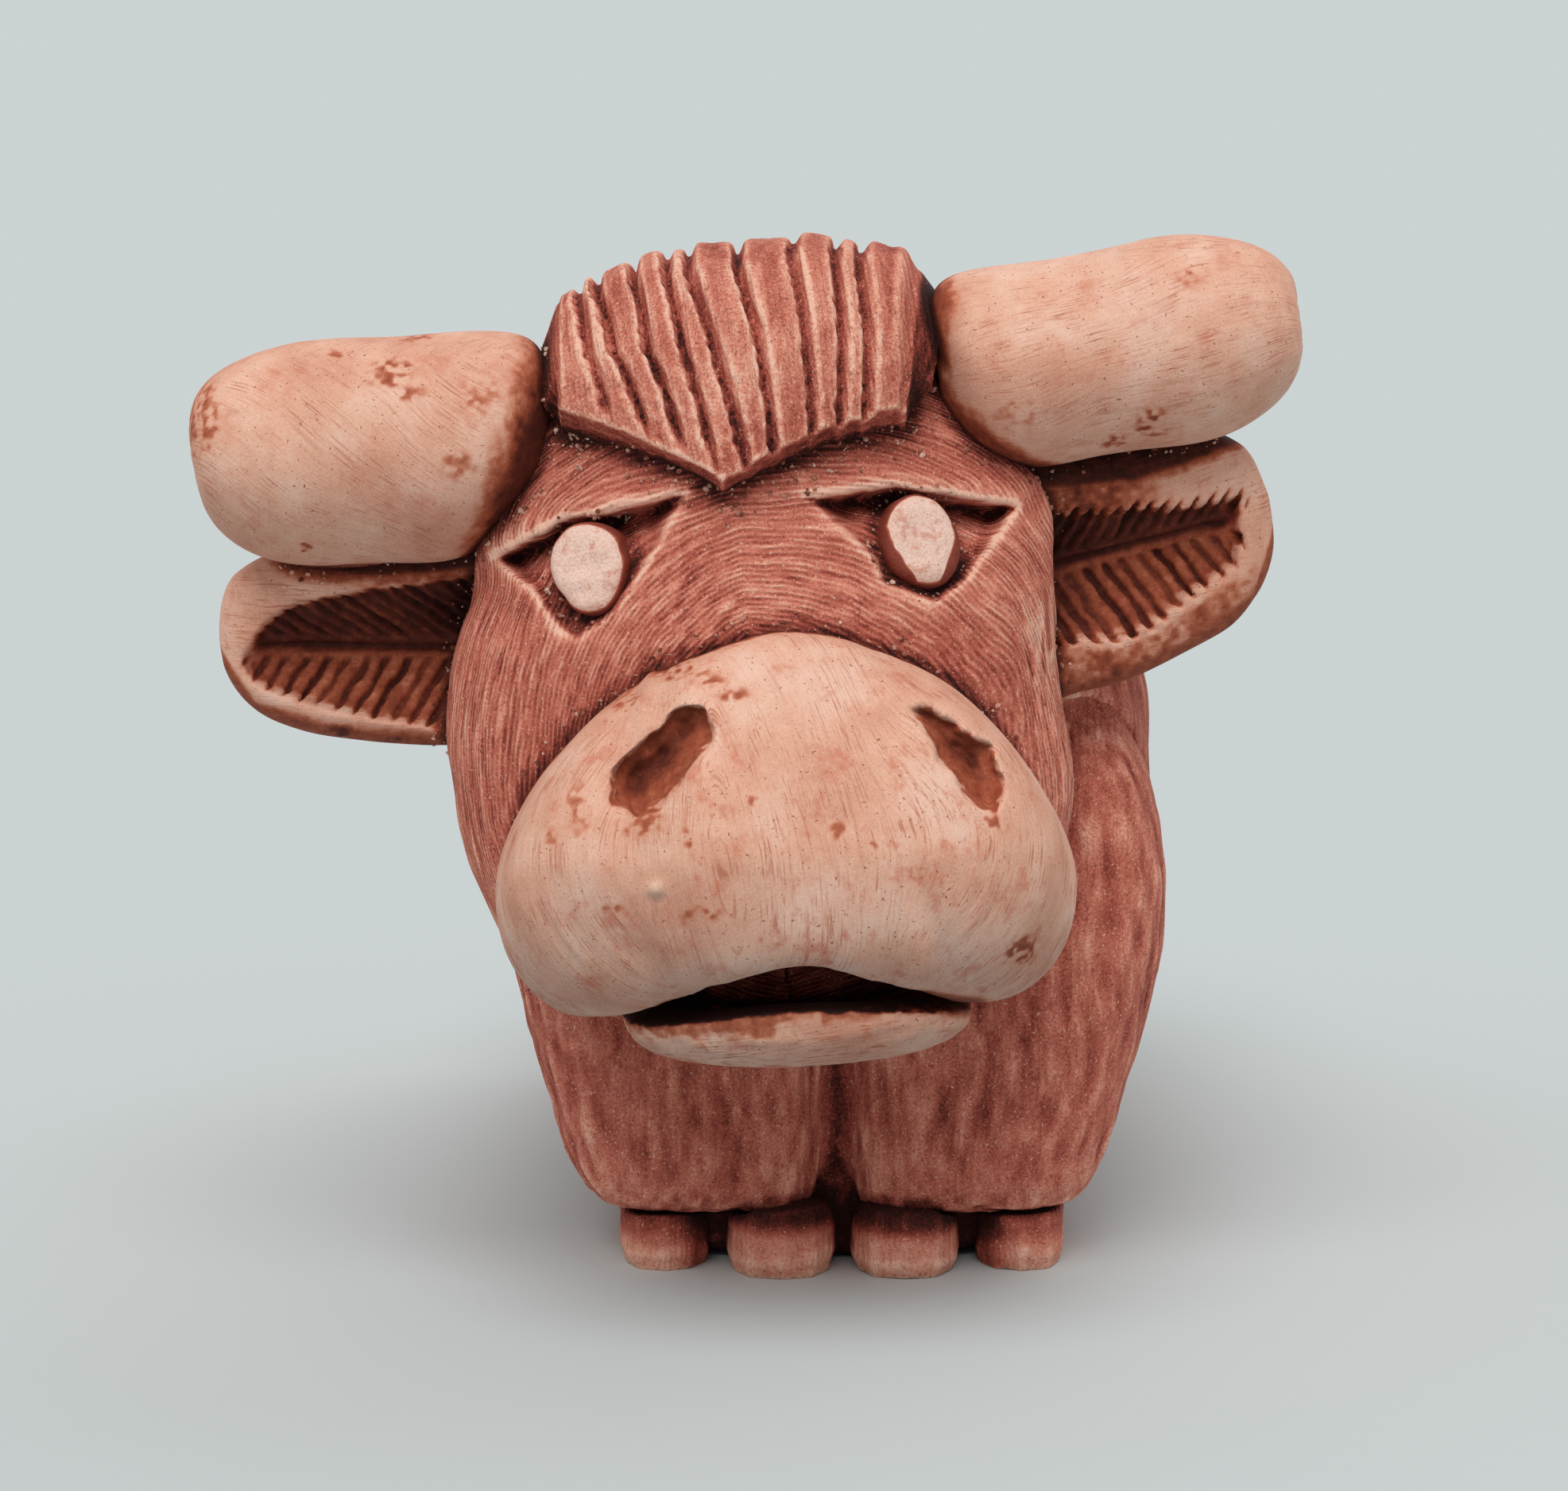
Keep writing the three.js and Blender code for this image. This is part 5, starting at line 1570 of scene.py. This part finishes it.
def make_world():
    """White light from all round. The camera and reflections see the backdrop's colour instead."""
    world = bpy.data.worlds.new("studio")
    bpy.context.scene.world = world
    world.use_nodes = True
    tree = world.node_tree
    tree.nodes.clear()
    output, room, backdrop, path, seen, total, mix = (tree.nodes.new("ShaderNode" + kind) for kind in (
        "OutputWorld", "Background", "Background", "LightPath", "Math", "Math", "MixShader",
    ))
    room.inputs["Color"].default_value = (1.0, 1.0, 1.0, 1.0)
    room.inputs["Strength"].default_value = ROOM_STRENGTH
    backdrop.inputs["Color"].default_value = linear(*FLOOR_COLOUR)
    backdrop.inputs["Strength"].default_value = FLOOR_LIGHT
    seen.operation = "ADD"
    total.operation = "ADD"
    total.use_clamp = True
    for source, socket in (
        (path.outputs["Is Camera Ray"], seen.inputs[0]), (path.outputs["Is Glossy Ray"], seen.inputs[1]),
        (seen.outputs[0], total.inputs[0]), (path.outputs["Is Transmission Ray"], total.inputs[1]),
        (total.outputs[0], mix.inputs[0]), (room.outputs[0], mix.inputs[1]),
        (backdrop.outputs[0], mix.inputs[2]), (mix.outputs[0], output.inputs[0]),
    ):
        tree.links.new(source, socket)


def make_lamp(name, source, strength, angle):
    data = bpy.data.lights.new(name, "SUN")
    data.energy = strength
    data.angle = math.radians(angle)
    lamp = bpy.data.objects.new(name, data)
    lamp.location = source * 0.5
    lamp.rotation_euler = (-source).to_track_quat("-Z", "Y").to_euler()
    bpy.context.scene.collection.objects.link(lamp)


def make_camera():
    data = bpy.data.cameras.new("camera")
    data.sensor_width = SENSOR
    data.lens = SENSOR * FOCAL_PIXELS / FRAME_WIDTH_PIXELS
    data.clip_start = 0.02
    data.clip_end = 20.0
    camera = bpy.data.objects.new("camera", data)
    camera.location = [value * MM for value in CAMERA_AT]
    camera.rotation_euler = (math.radians(90 - CAMERA_DOWN), 0, 0)
    bpy.context.scene.collection.objects.link(camera)
    bpy.context.scene.camera = camera


make_floor()
make_world()
make_lamp("key", KEY_FROM, KEY_STRENGTH, KEY_SPREAD)
make_lamp("back", BACK_FROM, BACK_STRENGTH, BACK_SPREAD)
make_camera()
bpy.context.scene.view_settings.view_transform = "Standard"
